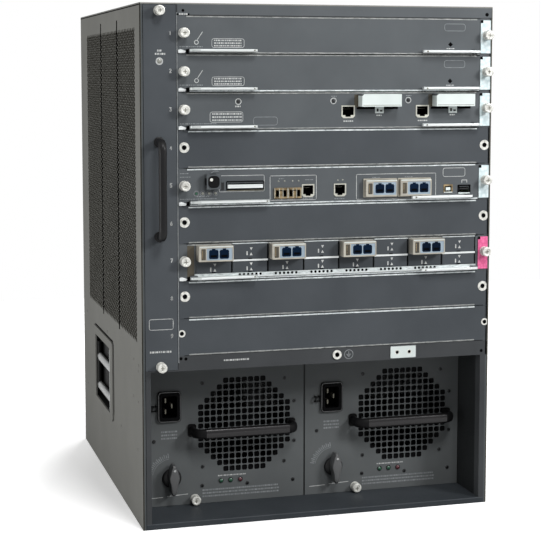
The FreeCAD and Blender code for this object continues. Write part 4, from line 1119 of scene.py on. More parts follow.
@dataclass
class CarryHandle:
    """Swinging carry handle in its moulded pocket on one side."""

    side: Side
    bezel_out: float = 2.15
    bezel_corner: float = 8.0
    margin: float = 22.0
    foot_margin: float = 8.0
    head_margin: float = 11.0
    hole_corner: float = 3.0
    tub_depth: float = 7.3
    wall: float = 0.7
    bar: float = 11.0

    def build(self) -> None:
        """Builds the bezel with painted shade round it and a painted highlight at the front edge of its
        opening, the black tub behind its opening and the bail.
        """
        low, high = node_box("left_handle_pocket")
        y0, y1, z0, z1, w, corner = low[1], high[1], low[2], high[2], self.wall, self.hole_corner
        start, end = y0 + self.margin, y1 - self.margin
        foot, head = z0 + self.foot_margin, z1 - self.head_margin
        hole = rounded(start, end, foot, head, corner)
        wide = rounded(start - w, end + w, foot - w, head + w, corner + w)
        plate = rounded(y0, y1, z0, z1, self.bezel_corner)
        shade = rounded(y0 - 2.2, y1 - 4.0, z0 + 6.0, z1 + 2.2, self.bezel_corner + 2.0)
        # A pale stroke at the front edge of the opening is a painted highlight.
        edge = [[(start - 1.2, foot + 3.0), (start - 1.2, head - 2.0)]]
        out, deep = -self.bezel_out, self.tub_depth
        piece = Piece(f"{self.side.value}_pocket_tub", "chassis", "pocket_grey", self.side)
        piece.add((collar(plate, hole, out, -0.15, Plane.FLANK), CASE_GREY),
                  (collar(shade, wide, -0.1, -0.02, Plane.FLANK), BLACK_AND_SHADE),
                  (collar(wide, hole, -0.15, deep, Plane.FLANK), TUB_BLACK),
                  (prism(wide, deep, deep + w, Plane.FLANK), TUB_BLACK),
                  (strokes(edge, 1.4, out - 0.04, out, Plane.FLANK), COVER_WHITE))
        piece.build(replaces=(f"{self.side.value}_handle_pocket",))
        self.build_bail(start, end)

    def build_bail(self, start: float, end: float) -> None:
        """Makes the bail: two dark arms on their pins, a light grip bar and a light bridge, all rounded.

        Args:
            start: Front end of the pocket's opening.
            end: Back end of the pocket's opening.
        """
        low, high = node_box("left_carry_handle")
        x = (low[0] + high[0]) / 2
        across = min(self.bar, high[0] - low[0])
        grip_z, bridge_z, pivot_z = low[2] + self.bar / 2, low[2] + 46.0, high[2] - 3.0
        inset = self.bar / 2 + 0.4
        piece = Piece(f"{self.side.value}_carry_bail", f"{self.side.value}_handle", "handle_metal", self.side)
        for y in (start + inset, end - inset):
            line = points(x, y, np.linspace(grip_z, pivot_z + 1.0, 12))
            piece.add((swept(line, oval(self.bar, across, 3.2), (0, 1, 0)), TUB_BLACK))
        for z in (grip_z, bridge_z):
            line = points(x, np.linspace(start + inset - 3.0, end - inset + 3.0, 24), z)
            piece.add((swept(line, oval(across + 0.1, self.bar, 2.8), (1, 0, 0)), BAIL_GREY))
        piece.build(replaces=(f"{self.side.value}_carry_handle",))


@dataclass
class FrontSteel:
    """Fixed front: header, beam over the power bay, stile, strap jack and ground pad, with the base below."""

    pad: Point = (326.5, 199.05)
    sign_shift: Point = (15.2, -0.4)

    def dots(self) -> Parts:
        """Makes the small dark holes of the header and the beam.

        Returns:
            The parts with their finishes.
        """
        places = ((51.4, 613.5, 1.7), (432.6, 612.8, 2.3), (44.8, 609.0, 1.2), (58, 609.2, 1.2),
                  (52.6, 204.4, 1.9), (431.1, 195.2, 2.0), (46.6, 205.0, 1.9))
        return [(turned([(r, 0.0), (r, -0.12), (r * 0.6, -0.14)], (x, z), sides=16), BLACK_AND_SHADE)
                for x, z, r in places]

    def strap_jack(self) -> Parts:
        """Makes the bright ring of the strap jack, and the ground sign: three bars under a stem in a ring.

        Returns:
            The parts with their finishes.
        """
        low, high = node_box("esd_jack")
        x, z = (low[0] + high[0]) / 2, (low[2] + high[2]) / 2
        u, v = sign = (x + self.sign_shift[0], z + self.sign_shift[1])
        bars = [[(u, v + 3.6), (u, v)]]
        bars += [[(u - w, v - h), (u + w, v - h)] for w, h in ((2.8, 0.0), (1.8, 1.4), (0.8, 2.8))]
        return [(ring((x, z), 5.7, 2.9, -1.5, -0.01), NICKEL), (ring((x, z), 2.95, 2.2, -1.3, 1.0), BLACK_AND_SHADE),
                (ring(sign, 5.9, 5.1, -PRINT, 0.0), FAINT_INK), (printed(bars, 0.75), FAINT_INK)]

    def ground_pad(self) -> Parts:
        """Makes the bare pad with its two screw holes: a plate round two rings.

        Returns:
            The parts with their finishes.
        """
        (x, z), face = self.pad, -0.6
        plate, edge = (x - 16.9, x + 16.9, z - 7.7, z + 7.7, 1.0), (x - 16.6, x + 16.6, z - 7.4, z + 7.4, 1.0)
        parts = [(prism(rounded(*plate), face - 0.12, -0.02), COVER_WHITE),
                 (strokes([outline(*edge)], 0.5, face - 0.2, face - 0.1), FAINT_INK)]
        for at in ((x - 7.95, z), (x + 7.95, z)):
            bore = [(2.0, face - 0.1), (2.0, face - 0.2), (1.0, face - 0.21)]
            parts += [(ring(at, 2.9, 2.0, face - 0.3, face - 0.1), NICKEL),
                      (turned(bore, at, sides=16), BLACK_AND_SHADE)]
        return parts

    def edges(self) -> Parts:
        """Makes the header's face, a painted highlight along the edge of the stile and the dark joint lines
        round the fan tray.

        Returns:
            The parts with their finishes.
        """
        return [(block((CAGE_LEFT, -0.03, CAGE_TOP + 0.9), (439.0, 0.02, HEIGHT - 1.7)), FRONT_GREY),
                # Painted highlight along the stile's edge, drawn in grey print.
                (block((CAGE_LEFT - 1.2, -0.12, 200.0), (CAGE_LEFT - 0.2, 0.02, 611.0)), FAINT_INK),
                (block((43.0, -0.03, 192.0), (43.4, 0.02, 620.0)), BLACK_AND_SHADE),
                (block((3.65, -0.05, 0.0), (4.25, 0.05, 620.0)), BLACK_AND_SHADE),
                (block((0.1, -0.05, 0.0), (0.9, 0.02, HEIGHT)), BLACK_AND_SHADE)]

    def build(self) -> None:
        """Builds all that is printed or fixed on the welded front, and the rolled lip of the base."""
        places = ((98.0, 130.0, 198.4), (46.0, 57.0, 607.4))
        words = [(small_print(a, b, z, z + 4.0), INK) for a, b, z in places]
        piece = Piece("front_frame_fittings", "chassis", "nickel")
        piece.add(*self.dots(), *self.strap_jack(), *self.ground_pad(), *self.edges(), *words)
        piece.build()
        low, high = node_box("base_pan")
        line = points(np.linspace(low[0] + 0.4, high[0] - 0.4, 30), 0.6, high[2] - 0.75)
        base = Piece("base_lip", "chassis", "front_paint")
        base.add((swept(line, oval(1.6, 1.6, 2.4, 12), (0, 1, 0)), TRAY_GREY))
        base.build()


# ---- fan tray -----------------------------------------------------------------------------------


@dataclass
class FanTrayFront:
    """Front of the fan tray: pull, thumbscrews, status lamp and slot numbers."""

    grip_bar: float = 9.4
    screw_x: float = 22.5
    lamp: Point = (23.2, 555.0)
    number_x: float = 36.1
    number_heights: tuple[float, ...] = (587.4, 543.9, 499.3, 454.5, 410.8, 366.0, 322.3, 277.5, 232.7)

    def build_pull(self) -> None:
        """Builds the upright pull: a rounded section carried along a bow from foot to foot."""
        low, high = node_box("fan_tray_grip")
        half, x = self.grip_bar / 2, (low[0] + high[0]) / 2
        line = bowed(((low[2] + half, 0.0), (high[2] - half, 0.0)), low[1] + half, 9.0)
        path = points(x, line[:, 1], line[:, 0])
        pull = Piece("fan_tray_pull", "fan_tray", "black_plastic")
        pull.add((swept(path, oval(self.grip_bar, self.grip_bar * 0.96, 2.4), (1, 0, 0)), BLACK_PLASTIC))
        for z in (low[2] + half, high[2] - half):
            pull.add((turned([(6.4, 0.0), (6.2, -1.4), (5.2, -2.0)], (x, z)), BLACK_PLASTIC))
        pull.build(replaces=("fan_tray_grip",))

    def build(self) -> None:
        """Builds the pull, and the piece with screws, lamp and print."""
        self.build_pull()
        piece = Piece("fan_tray_fittings", "fan_tray", "nickel")
        low, high = node_box("fan_tray_frame")
        for z in (low[2] + 4.7, high[2] - 7.0):
            piece.add(*thumbscrew((self.screw_x, z), 0.0))
        lens = [(2.8, 0.0), (2.7, -0.3), (1.6, -0.9), (0.4, -1.1)]
        piece.add((ring(self.lamp, 4.4, 2.9, -PRINT, 0.0), INK),
                  (turned(lens, self.lamp, sides=20), AMBER_LENS))
        x, z = self.lamp
        for u0, u1, v0 in ((x - 3.4, x + 4.0, z + 10.0), (x - 6.0, x + 7.0, z + 6.2), (8.6, 36.0, 212.0)):
            piece.add((small_print(u0, u1, v0, v0 + 4.4), INK))
        for index, height in enumerate(self.number_heights):
            piece.add((numeral(index + 1, (self.number_x, height), 4.1, 1.0), INK))
        piece.add((printed([outline(8.9, 37.5, 240.7, 253.2, 2.0)], 0.7), INK))
        piece.build()


# ---- cards --------------------------------------------------------------------------------------


# Dark strip between the right end of a slot's front and the edge of the case.
END_SHADE = (block((CAGE_RIGHT - 1.25, -0.08, 0.2), (CAGE_RIGHT - 0.32, 0.0, SLOT_PITCH - 0.2)), BLACK_AND_SHADE)


@dataclass
class CardDress:
    """What every card carries: spring strips, thumbscrews, end plate and two ejector levers.

    Parts are drawn from the lower edge of the slot.
    """

    slot: int
    end_finish: Finish = PLATE_CYAN
    finger: float = 9.0
    finger_gap: float = 0.35
    finger_width: float = 1.55
    strip_fall: float = 2.15
    strip_rise: float = 0.75
    strip_inset: float = 14.5
    screw_rise: float = 24.2
    lever_thickness: float = 3.0
    shaded_upper: tuple[int, ...] = (1, 2, 3, 7)
    shaded_lower: tuple[int, ...] = (1, 3, 4, 6, 8, 9)

    def strip(self, height: float, start: float, end: float) -> Part:
        """Makes a row of spring fingers: each is a low box that stands just off the faceplate's edge.

        Args:
            height: Height of the strip's lower edge.
            start: Left end of the strip.
            end: Right end that the last finger stays short of.

        Returns:
            Vertices and faces of the fingers.
        """
        lefts = np.arange(start, end - self.finger, self.finger + self.finger_gap)
        high = points(lefts + self.finger, 0.0, height + self.finger_width)
        return blocks(points(lefts, -0.45, height), high)

    def strips(self, upper: float, lower: float, right: float) -> Parts:
        """Makes the upper and lower spring strips: some slots have bright ones and some a darker copy of the
        same metal, as painted shade.

        Args:
            upper: Where the upper strip starts, from the cage's left side.
            lower: Where the lower strip starts, from the cage's left side.
            right: Where both end, from the cage's right side.

        Returns:
            The strips with their finishes.
        """
        end, top = CAGE_RIGHT - right, SLOT_PITCH - self.strip_fall
        return [(self.strip(top, CAGE_LEFT + upper, end),
                 SPRING_SHADED if self.slot in self.shaded_upper else SPRING_METAL),
                (self.strip(self.strip_rise, CAGE_LEFT + lower, end),
                 SPRING_SHADED if self.slot in self.shaded_lower else SPRING_METAL)]

    def edge_parts(self) -> Parts:
        """Makes the spring strips along both edges and the dark gaps beside them.

        Returns:
            The parts with their finishes.
        """
        top, right = SLOT_PITCH, CAGE_RIGHT - self.strip_inset
        return [*self.strips(10.5, 14.0, self.strip_inset),
                (block((CAGE_LEFT + 9.5, -0.1, top - 0.75), (right, 0.0, top - 0.18)), BLACK_AND_SHADE),
                (block((CAGE_LEFT + 10.0, -0.08, 0.18), (right, 0.0, 0.7)), BLACK_AND_SHADE)]

    def end_parts(self) -> Parts:
        """Makes the end plate with its notched corner, the thumbscrews and the pale wedge under the left one.

        Returns:
            The parts with their finishes.
        """
        left, right = CAGE_LEFT, CAGE_RIGHT - 1.3
        x0, x1, z0, z1 = right - 12.8, right, 2.15, SLOT_PITCH - 2.15
        plate = [(x0, z0), (x1, z0), (x1, z1), (x0 + 3.0, z1), (x0 + 3.0, z1 - 3.2), (x0, z1 - 3.2)]
        notch = [(x0, z1 - 3.1), (x0 + 2.9, z1 - 3.1), (x0 + 2.9, z1), (x0, z1)]
        wedge = [(left + 0.6, 1.0), (left + 8.2, 1.0), (left + 9.6, 3.2), (left + 3.6, 5.4),
                 (left + 0.6, 4.6)]
        gap = [(left + 9.8, 0.9), (left + 13.0, 0.9), (left + 14.0, 5.6), (left + 9.8, 5.0)]
        return [(prism(plate, -1.12, -0.02), self.end_finish), (prism(notch, -1.15, -0.9), BLACK_AND_SHADE),
                (prism(wedge, -1.6, 0.0), LEVER_WHITE), (prism(gap, -0.4, 0.0), BLACK_AND_SHADE), END_SHADE,
                *thumbscrew((left + 6.7, self.screw_rise), 0.0),
                *thumbscrew((CAGE_RIGHT - 6.1, self.screw_rise), -1.1, 9.9)]

    def lever(self, side: Side) -> None:
        """Builds one ejector lever: a flat bar with a round hub, a raised spine and a rivet at its tip.

        Args:
            side: Which of the two levers.
        """
        node = f"slot_{self.slot}_{side.value}_ejector"
        low, high = node_box(node)
        hub, sign, y = 4.5, side.sign, -5.2
        pivot, end = (low[0] + hub, high[0]) if side is Side.LEFT else (high[0] - hub, low[0])
        # Left levers take the darker copy of the lever metal as painted shade.
        metal = LEVER_SHADED if side is Side.LEFT else LEVER_WHITE
        turn = np.linspace(np.pi / 2, 3 * np.pi / 2, 9)
        round_hub = np.stack([pivot + sign * hub * np.cos(turn), y + hub * np.sin(turn)], 1)
        tip = [(end - sign * 5.0, y - hub), (end - sign * 1.6, y - hub + 0.4), (end - sign * 0.1, y - 2.6),
               (end, y + 2.2), (end - sign * 6.0, y + hub)]
        z0, z1 = low[2], low[2] + self.lever_thickness
        start, stop = sorted((pivot + sign * 8.0, end - sign * 3.5))
        spine = block((start, y - hub - 0.25, z0 + 0.5), (stop, y - hub + 0.1, z1 - 0.5))
        rivet = [(1.0, y - hub + 0.05), (1.0, y - hub - 0.35), (0.4, y - hub - 0.42)]
        pin = [(1.9, z0 - 0.25), (1.9, z1 + 0.25)]
        name = f"slot_{self.slot}_{side.value}_lever"
        piece = Piece(name, f"card_{self.slot}_{side.value}_ejector", "lever_metal")
        piece.add((prism(np.concatenate([round_hub, tip]), z0, z1, Plane.FLAT), metal), (spine, LEVER_WHITE),
                  (turned(rivet, (end - sign * 4.2, (z0 + z1) / 2), sides=12), DULL_METAL),
                  (turned(pin, (pivot, y), Plane.FLAT, 12), DARK_SCREW))
        piece.build(bevel=0.45, replaces=(node,))

    def label(self, u0: float, u1: float, v0: float, v1: float) -> Parts:
        """Prints a rounded frame with three rows of small print in it."""
        return [(printed([outline(u0, u1, v0, v1, 2.4)], 0.55), INK),
                (small_print(u0 + 1.8, u1 - 1.4, v0 + 0.5, v1 - 0.5, 3), INK)]

    def marks(self) -> Parts:
        """Gives the parts that only this card has; a plain one has its printed signs and a pin hole.

        Returns:
            The parts with their finishes.
        """
        ring_z, pin = 13.45, (384.8, 12.7)
        return [(ring((67.1, ring_z), 2.7, 1.9, -PRINT, 0.0), INK),
                (printed([[(68.4, ring_z + 3.2), (74.4, ring_z + 12.0)]], 0.7), INK),
                *self.label(85.6, 124.5, 7.6, 17.8),
                (printed([outline(377.0, 404.0, 29.15, 37.6, 2.6)], 0.6), FAINT_INK),
                (turned([(3.1, 0.0), (3.0, -0.12), (1.0, -0.13)], pin, sides=4), BLACK_AND_SHADE),
                (small_print(379.0, 390.6, 6.6, 8.6), INK),
                (small_print(46.2, 75.0, 7.2, 9.4), FAINT_INK)]

    def build(self) -> None:
        """Builds the card's fittings and its levers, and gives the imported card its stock."""
        origin = (0.0, 0.0, slot_floor(self.slot))
        piece = Piece(f"slot_{self.slot}_fittings", f"card_{self.slot}", "nickel", origin=origin)
        piece.add(*self.edge_parts(), *self.end_parts(), *self.marks())
        piece.build()
        self.lever(Side.LEFT)
        self.lever(Side.RIGHT)
        dress_nodes({f"slot_{self.slot}_card": CARD})


@dataclass
class Jack:
    """Moulded network jack behind a faceplate: shell, keyed mouth, a well darkened as painted shade, and
    eight contacts.
    """

    left: float
    right: float
    low: float
    high: float
    rim: float = 1.5
    depth: float = 12.0

    def parts(self) -> Parts:
        """Makes the jack: a collar round a keyed mouth, a liner and back in near-black as painted shade, and
        fine contact bars.

        Returns:
            The parts with their finishes.
        """
        x0, x1, z0, z1, m = self.left, self.right, self.low, self.high, self.rim
        wide, tall = x1 - x0, z1 - z0
        key, step = 0.3 * wide, z0 + m + 2.0
        crop, side = 0.15 * wide, z0 + 0.15 * tall
        mouth = np.array([(x0 + m, step), (x0 + key, step), (x0 + key, z0 + m), (x1 - key, z0 + m),
                          (x1 - key, step), (x1 - m, step), (x1 - m, z1 - m), (x0 + m, z1 - m)])
        shell = np.array([(x0, side), (x0 + crop, z0), (x0 + key, z0), (x1 - key, z0), (x1 - crop, z0),
                          (x1, side), (x1, z1), (x0, z1)])
        back = block((x0 + 0.6, self.depth - 1.2, z0 + 0.6), (x1 - 0.6, self.depth - 0.9, z1 - 0.6))
        liner = collar(rounded(x0 + 0.85, x1 - 0.85, z0 + 0.85, z1 - 0.85, 0.4),
                       rounded(x0 + 1.3, x1 - 1.3, z0 + 1.3, z1 - 1.3, 0.3), 0.2, self.depth - 1.0)
        pins = np.linspace(x0 + 0.28 * wide, x1 - 0.28 * wide, 8)
        bars = blocks(points(pins - 0.16, 3.0, z1 - 0.3 * tall), points(pins + 0.16, 8.0, z1 - 0.27 * tall))
        front = collar(shell, mouth, -0.5, 0.35)
        return [(front, JACK_PALE), (liner, BLACK_AND_SHADE), (back, BLACK_AND_SHADE), (bars, DULL_METAL)]


@dataclass
class PortCard(CardDress):
    """Card in slot 3: two jacks, each beside a port with a pale cover."""

    slot: int = 3
    jack_insets: Point = (193.6, 98.2)
    jack_rise: float = 12.95
    jack_size: Point = (17.1, 15.2)
    cover_size: Point = (50.0, 14.8)

    def cover(self, left: float) -> Parts:
        """Makes a port cover: a plain hood with a bevelled left end, dark strips beside and under it as
        painted shade, and its tab.

        Args:
            left: Left edge of the cover.

        Returns:
            The parts with their finishes.
        """
        top = SLOT_PITCH - 2.8
        right, foot = left + self.cover_size[0], top - self.cover_size[1]
        hood = [(left - 0.05, foot - 0.05), (right + 0.05, foot - 0.05), (right + 0.05, top + 0.05),
                (left + 2.6, top + 0.05), (left - 0.05, top - 2.0)]
        tab = left + 21.3
        crease = [(left + 1.4, foot + 1.6), (right - 1.4, foot + 1.6)]
        return [(prism(hood, -15.06, -0.02), COVER_WHITE),
                (strokes([crease], 0.5, -15.14, -15.0), DULL_METAL),
                # The brown strip left of the hood and the black strip under it are painted shade beside and
                # under the hood.
                (block((left - 5.2, -0.3, foot - 1.0), (left - 0.05, 0.0, top - 0.5)), LATCH_BROWN),
                (block((left - 2.0, -0.12, foot - 3.4), (right + 0.6, 0.0, foot - 0.05)), BLACK_AND_SHADE),
                (block((tab, -1.0, foot - 8.4), (tab + 10.9, -0.01, foot - 0.1)), COVER_WHITE),
                (block((tab + 1.8, -1.15, foot - 6.4), (tab + 4.2, -0.95, foot - 2.6)), DARK_SCREW),
                (block((tab + 6.0, -1.15, foot - 6.4), (tab + 9.2, -0.95, foot - 4.4)), DARK_SCREW),
                (small_print(tab + 1.0, tab + 10.4, foot - 12.2, foot - 9.4), INK)]

    def lamp(self, at: Point, out: float) -> Parts:
        """Makes a dark lamp in a raised pale ring."""
        return [(ring(at, 3.8, 3.0, -out, 0.0), INK),
                (turned([(2.2, 0.0), (2.0, -0.5), (1.0, -0.9)], at, sides=16), DARK_SCREW)]

    def marks(self) -> Parts:
        """Makes the jacks, covers, lamps and printed frames of this card.

        Returns:
            The parts with their finishes.
        """
        wide, tall = self.jack_size
        parts: Parts = []
        for inset in self.jack_insets:
            x = CAGE_RIGHT - inset
            jack = Jack(x, x + wide, self.jack_rise, self.jack_rise + tall)
            parts += [*jack.parts(), *self.cover(x + 21.5),
                      (small_print(x + 2.0, x + 15.0, 7.8, 10.8), INK)]
        for x, rise in ((235.0, 33.65), (330.5, 34.15)):
            parts += [*self.lamp((x, rise), 0.08),
                      (small_print(x - 3.6, x + 4.4, rise + 4.6, rise + 6.4), FAINT_INK)]
        return [*parts, *self.lamp((117.3, 33.4), 0.1),
                (small_print(112.6, 122.4, 26.0, 29.4), INK),
                (small_print(46.2, 92.0, 6.6, 8.8), FAINT_INK),
                *self.label(83.1, 122.8, 9.4, 21.3),
                (printed([outline(135.8, 165.1, 5.4, 15.0, 3.0)], 0.6), FAINT_INK)]


@dataclass
class OpticFace:
    """Face of a fibre module: pale frame, bluish plate, olive latch slot and two keyed navy wells."""

    left: float
    right: float
    low: float
    high: float
    face: float

    def parts(self) -> Parts:
        """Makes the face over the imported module: frame, inner plate, wells with keys, latch and upper edge.

        Returns:
            The parts with their finishes.
        """
        x0, x1, z0, z1, y = self.left, self.right, self.low, self.high, self.face
        middle = (z0 + z1) / 2
        frame_in = rounded(x0 + 9.2, x1 - 1.1, z0 + 1.5, z1 - 2.6, 0.8)
        frame_out = rounded(x0 - 0.1, x1 + 0.1, z0 - 0.1, z1 + 0.1, 0.8)
        parts = [(collar(frame_out, frame_in, y - 1.1, y - 0.01), SHELL_STONE),
                 (prism(rounded(x0 + 9.0, x1 - 0.9, z0 + 1.3, z1 - 2.4, 0.8), y - 0.5, y - 0.02), FACE_BLUE)]
        for left in (12.2, 25.0):
            a, b, c, d = x0 + left - 0.2, x0 + left + 11.2, middle - 6.2, middle + 4.6
            well = [(a + 1.2, d), (a, d - 1.6), (a, c + 1.2), (a + 1.2, c), (b - 1.2, c), (b, c + 1.2),
                    (b, d - 1.6), (b - 1.2, d), (b - 3.6, d), (b - 3.6, d + 1.4), (a + 3.6, d + 1.4),
                    (a + 3.6, d)]
            parts += [(prism(well, y - 0.62, y + 0.5), WELL_NAVY),
                      (block((a + 2.0, y - 0.7, c + 2.0), (b - 2.0, y - 0.6, c + 4.6)), BLACK_AND_SHADE)]
        slot = rounded(x0 + 2.6, x0 + 8.0, middle - 7.2, middle + 6.0, 0.8)
        latch = [(x0 + 4.0, middle - 5.0), (x0 + 4.0, middle + 4.2)]
        edge = [(x0 + 1.0, z1 - 0.8), (x1 - 1.0, z1 - 0.8)]
        return parts + [(prism(slot, y - 1.2, y - 0.5), LATCH_BROWN),
                        (strokes([latch], 0.6, y - 1.3, y - 1.15), CAGE_METAL),
                        (strokes([edge], 1.0, y - 1.25, y - 1.05), COVER_WHITE)]


@dataclass
class SupervisorCard(CardDress):
    """Card in slot 5: button, memory slot, cages, jacks, two wide modules and serial sockets."""

    slot: int = 5
    cage_lefts: Point = (161.3, 178.3)
    jack_lefts: Point = (195.6, 235.8)
    sleeve_lefts: Point = (274.4, 318.8)

    def cage(self, left: float, right: float, low: float, high: float) -> Parts:
        """Makes a metal cage with a folded rim, pale strokes along its upright edges as painted highlights,
        and a latch spring in its mouth, which is lined in near-black as painted shade.

        Args:
            left: Left edge.
            right: Right edge.
            low: Lower edge.
            high: Upper edge.

        Returns:
            The parts with their finishes.
        """
        outer = rounded(left - 0.5, right + 0.5, low - 0.5, high + 0.5, 0.5, 2)
        inner = rounded(left + 1.3, right - 1.3, low + 1.6, high - 2.2, 0.4, 2)
        liner = collar(rounded(left + 0.85, right - 0.85, low + 0.85, high - 0.85, 0.3, 2),
                       rounded(left + 1.2, right - 1.2, low + 1.2, high - 1.2, 0.3, 2), 0.1, 12.6)
        start, end = left + 0.36 * (right - left), left + 0.64 * (right - left)
        spring = block((start, -0.6, low + 1.0), (end, 7.0, high - 3.6))
        # Pale strokes on the upright edges are painted highlights.
        edges = [[(x, low + 0.4), (x, high - 0.4)] for x in (left + 0.2, start, end, right - 0.2)]
        back = block((left + 1.0, 12.5, low + 1.0), (right - 1.0, 12.8, high - 1.0))
        return [(collar(outer, inner, -1.6, 0.3), CAGE_METAL), (liner, BLACK_AND_SHADE),
                (strokes(edges, 0.5, -1.8, -1.2), JACK_PALE), (back, BLACK_AND_SHADE), (spring, CAGE_METAL)]

    def frames(self) -> Parts:
        """Prints the thin frames round the groups of ports, with small print over them.

        Returns:
            The parts with their finishes.
        """
        thin = [outline(93.9, 148.8, 16.2, 35.2, 1.2), outline(156.1, 213.7, 4.55, 33.9, 1.2),
                outline(264.6, 367.4, 3.6, 33.7, 1.2), outline(377.0, 406.0, 29.05, 39.5, 2.4)]
        words = ((118.0, 134.0, 34.0), (178.0, 196.0, 33.0), (300.0, 334.0, 33.0), (199.0, 211.0, 27.6),
                 (236.0, 250.0, 4.0), (161.0, 190.0, 4.6), (66.0, 84.0, 10.2), (284.0, 296.0, 28.6),
                 (326.0, 338.0, 28.6), (196.0, 210.0, 5.4), (46.0, 58.0, 37.6), (46.0, 60.0, 33.4),
                 (46.0, 92.0, 7.4), (60.0, 84.0, 5.2), (166.0, 176.0, 29.4))
        return [(printed(thin, 0.6), INK),
                *[(small_print(a, b, rise, rise + 1.9), FAINT_INK) for a, b, rise in words]]

    def left_group(self) -> Parts:
        """Makes the button with a small bright dome on it as painted highlight, its sign, the row of four
        lamps and the memory slot.

        Returns:
            The parts with their finishes.
        """
        sign = [(84.0, 38.6), (88.0, 41.0), (93.0, 40.6)]
        parts = [(prism(rounded(76.7, 94.5, 19.4, 38.0, 6.5), -7.6, -0.02), RUBBER),
                 (prism(rounded(78.9, 92.3, 21.6, 35.8, 4.8), -8.6, -7.5), RUBBER),
                 # The small nickel dome on the button is a painted highlight.
                 (turned([(2.0, -8.5), (1.8, -8.9), (0.6, -9.1)], (82.6, 31.2), sides=16), NICKEL),
                 (printed([sign], 0.7), FAINT_INK)]
        for index in range(4):
            at = (66.2 + 7.7 * index, 14.75)
            lens = turned([(1.7, 0.0), (1.6, -0.4), (0.8, -0.7)], at, sides=16)
            parts += [(ring(at, 3.3, 2.8, -0.08, 0.0, 20), FAINT_INK),
                      (lens, AMBER_LENS if index else GREEN_LENS)]
        slot_outer = rounded(102.4, 148.6, 18.0, 28.8, 1.0, 2)
        slot_mouth = rounded(103.2, 147.7, 19.4, 27.6, 0.6, 2)
        return parts + [(collar(slot_outer, slot_mouth, -0.8, 0.2), BLACK_AND_SHADE),
                        (block((103.0, 1.2, 19.2), (148.0, 1.6, 28.0)), BLACK_AND_SHADE),
                        (block((104.2, -0.9, 20.2), (147.0, 1.2, 24.4)), LEVER_WHITE),
                        (block((103.4, -1.0, 17.0), (147.4, 0.0, 17.9)), DULL_METAL),
                        (block((95.2, -0.6, 18.2), (99.6, 0.0, 27.4)), DARK_SCREW)]

    def marks(self) -> Parts:
        """Makes the button, memory slot, lamps, ports and sockets of this card.

        Returns:
            The parts with their finishes.
        """
        parts = self.frames() + self.left_group()
        for left in self.cage_lefts:
            parts += self.cage(left, left + 16.2, 7.25, 19.05)
        for left in self.jack_lefts:
            parts += Jack(left, left + 15.6, 7.65, 23.25).parts()
        for x in (166.5, 174.0, 184.0, 191.5, 241.0, 247.0):
            parts.append((turned([(1.1, 0.0), (1.0, -0.3), (0.4, -0.5)], (x, 27.4), sides=12), AMBER_LENS))
        for left in self.sleeve_lefts:
            sleeve = rounded(left - 1.2, left + 41.7, 5.6, 28.4, 0.8)
            mouth = rounded(left + 0.1, left + 40.4, 6.9, 27.2, 0.4)
            parts.append((collar(sleeve, mouth, -1.4, 0.0), SHELL_STONE))
        return parts + self.sockets()

    def sockets(self) -> Parts:
        """Makes the serial sockets: a square metal one with a pale tongue, and a flat black one.

        Returns:
            The parts with their finishes.
        """
        square = collar(rounded(377.6, 389.8, 9.0, 19.5, 1.0, 2),
                        rounded(379.4, 388.0, 10.6, 17.4, 0.8, 2), -0.6, 0.2)
        flat = collar(rounded(396.4, 413.4, 8.6, 18.6, 0.6, 2),
                      rounded(398.2, 411.6, 10.8, 17.0, 0.4, 2), -0.6, 0.2)
        sign = [(402.0, 21.2), (402.0, 24.4), (408.6, 24.4), (408.6, 21.2)]
        return [(square, CAGE_METAL), (block((380.8, -0.5, 12.2), (386.6, 1.0, 15.8)), COVER_WHITE),
                (block((378.2, -0.75, 9.2), (389.2, -0.3, 10.2)), COVER_WHITE),
                (block((379.0, 8.5, 10.2), (388.4, 8.8, 18.2)), BLACK_AND_SHADE), (flat, BLACK_AND_SHADE),
                (block((399.6, 0.2, 12.8), (410.4, 1.2, 14.6)), DARK_SCREW),
                (block((397.4, -0.7, 7.6), (412.6, 0.0, 9.0)), COVER_WHITE), (printed([sign], 0.8), INK),
                (block((398.6, 8.5, 10.4), (411.6, 8.8, 16.4)), BLACK_AND_SHADE)]


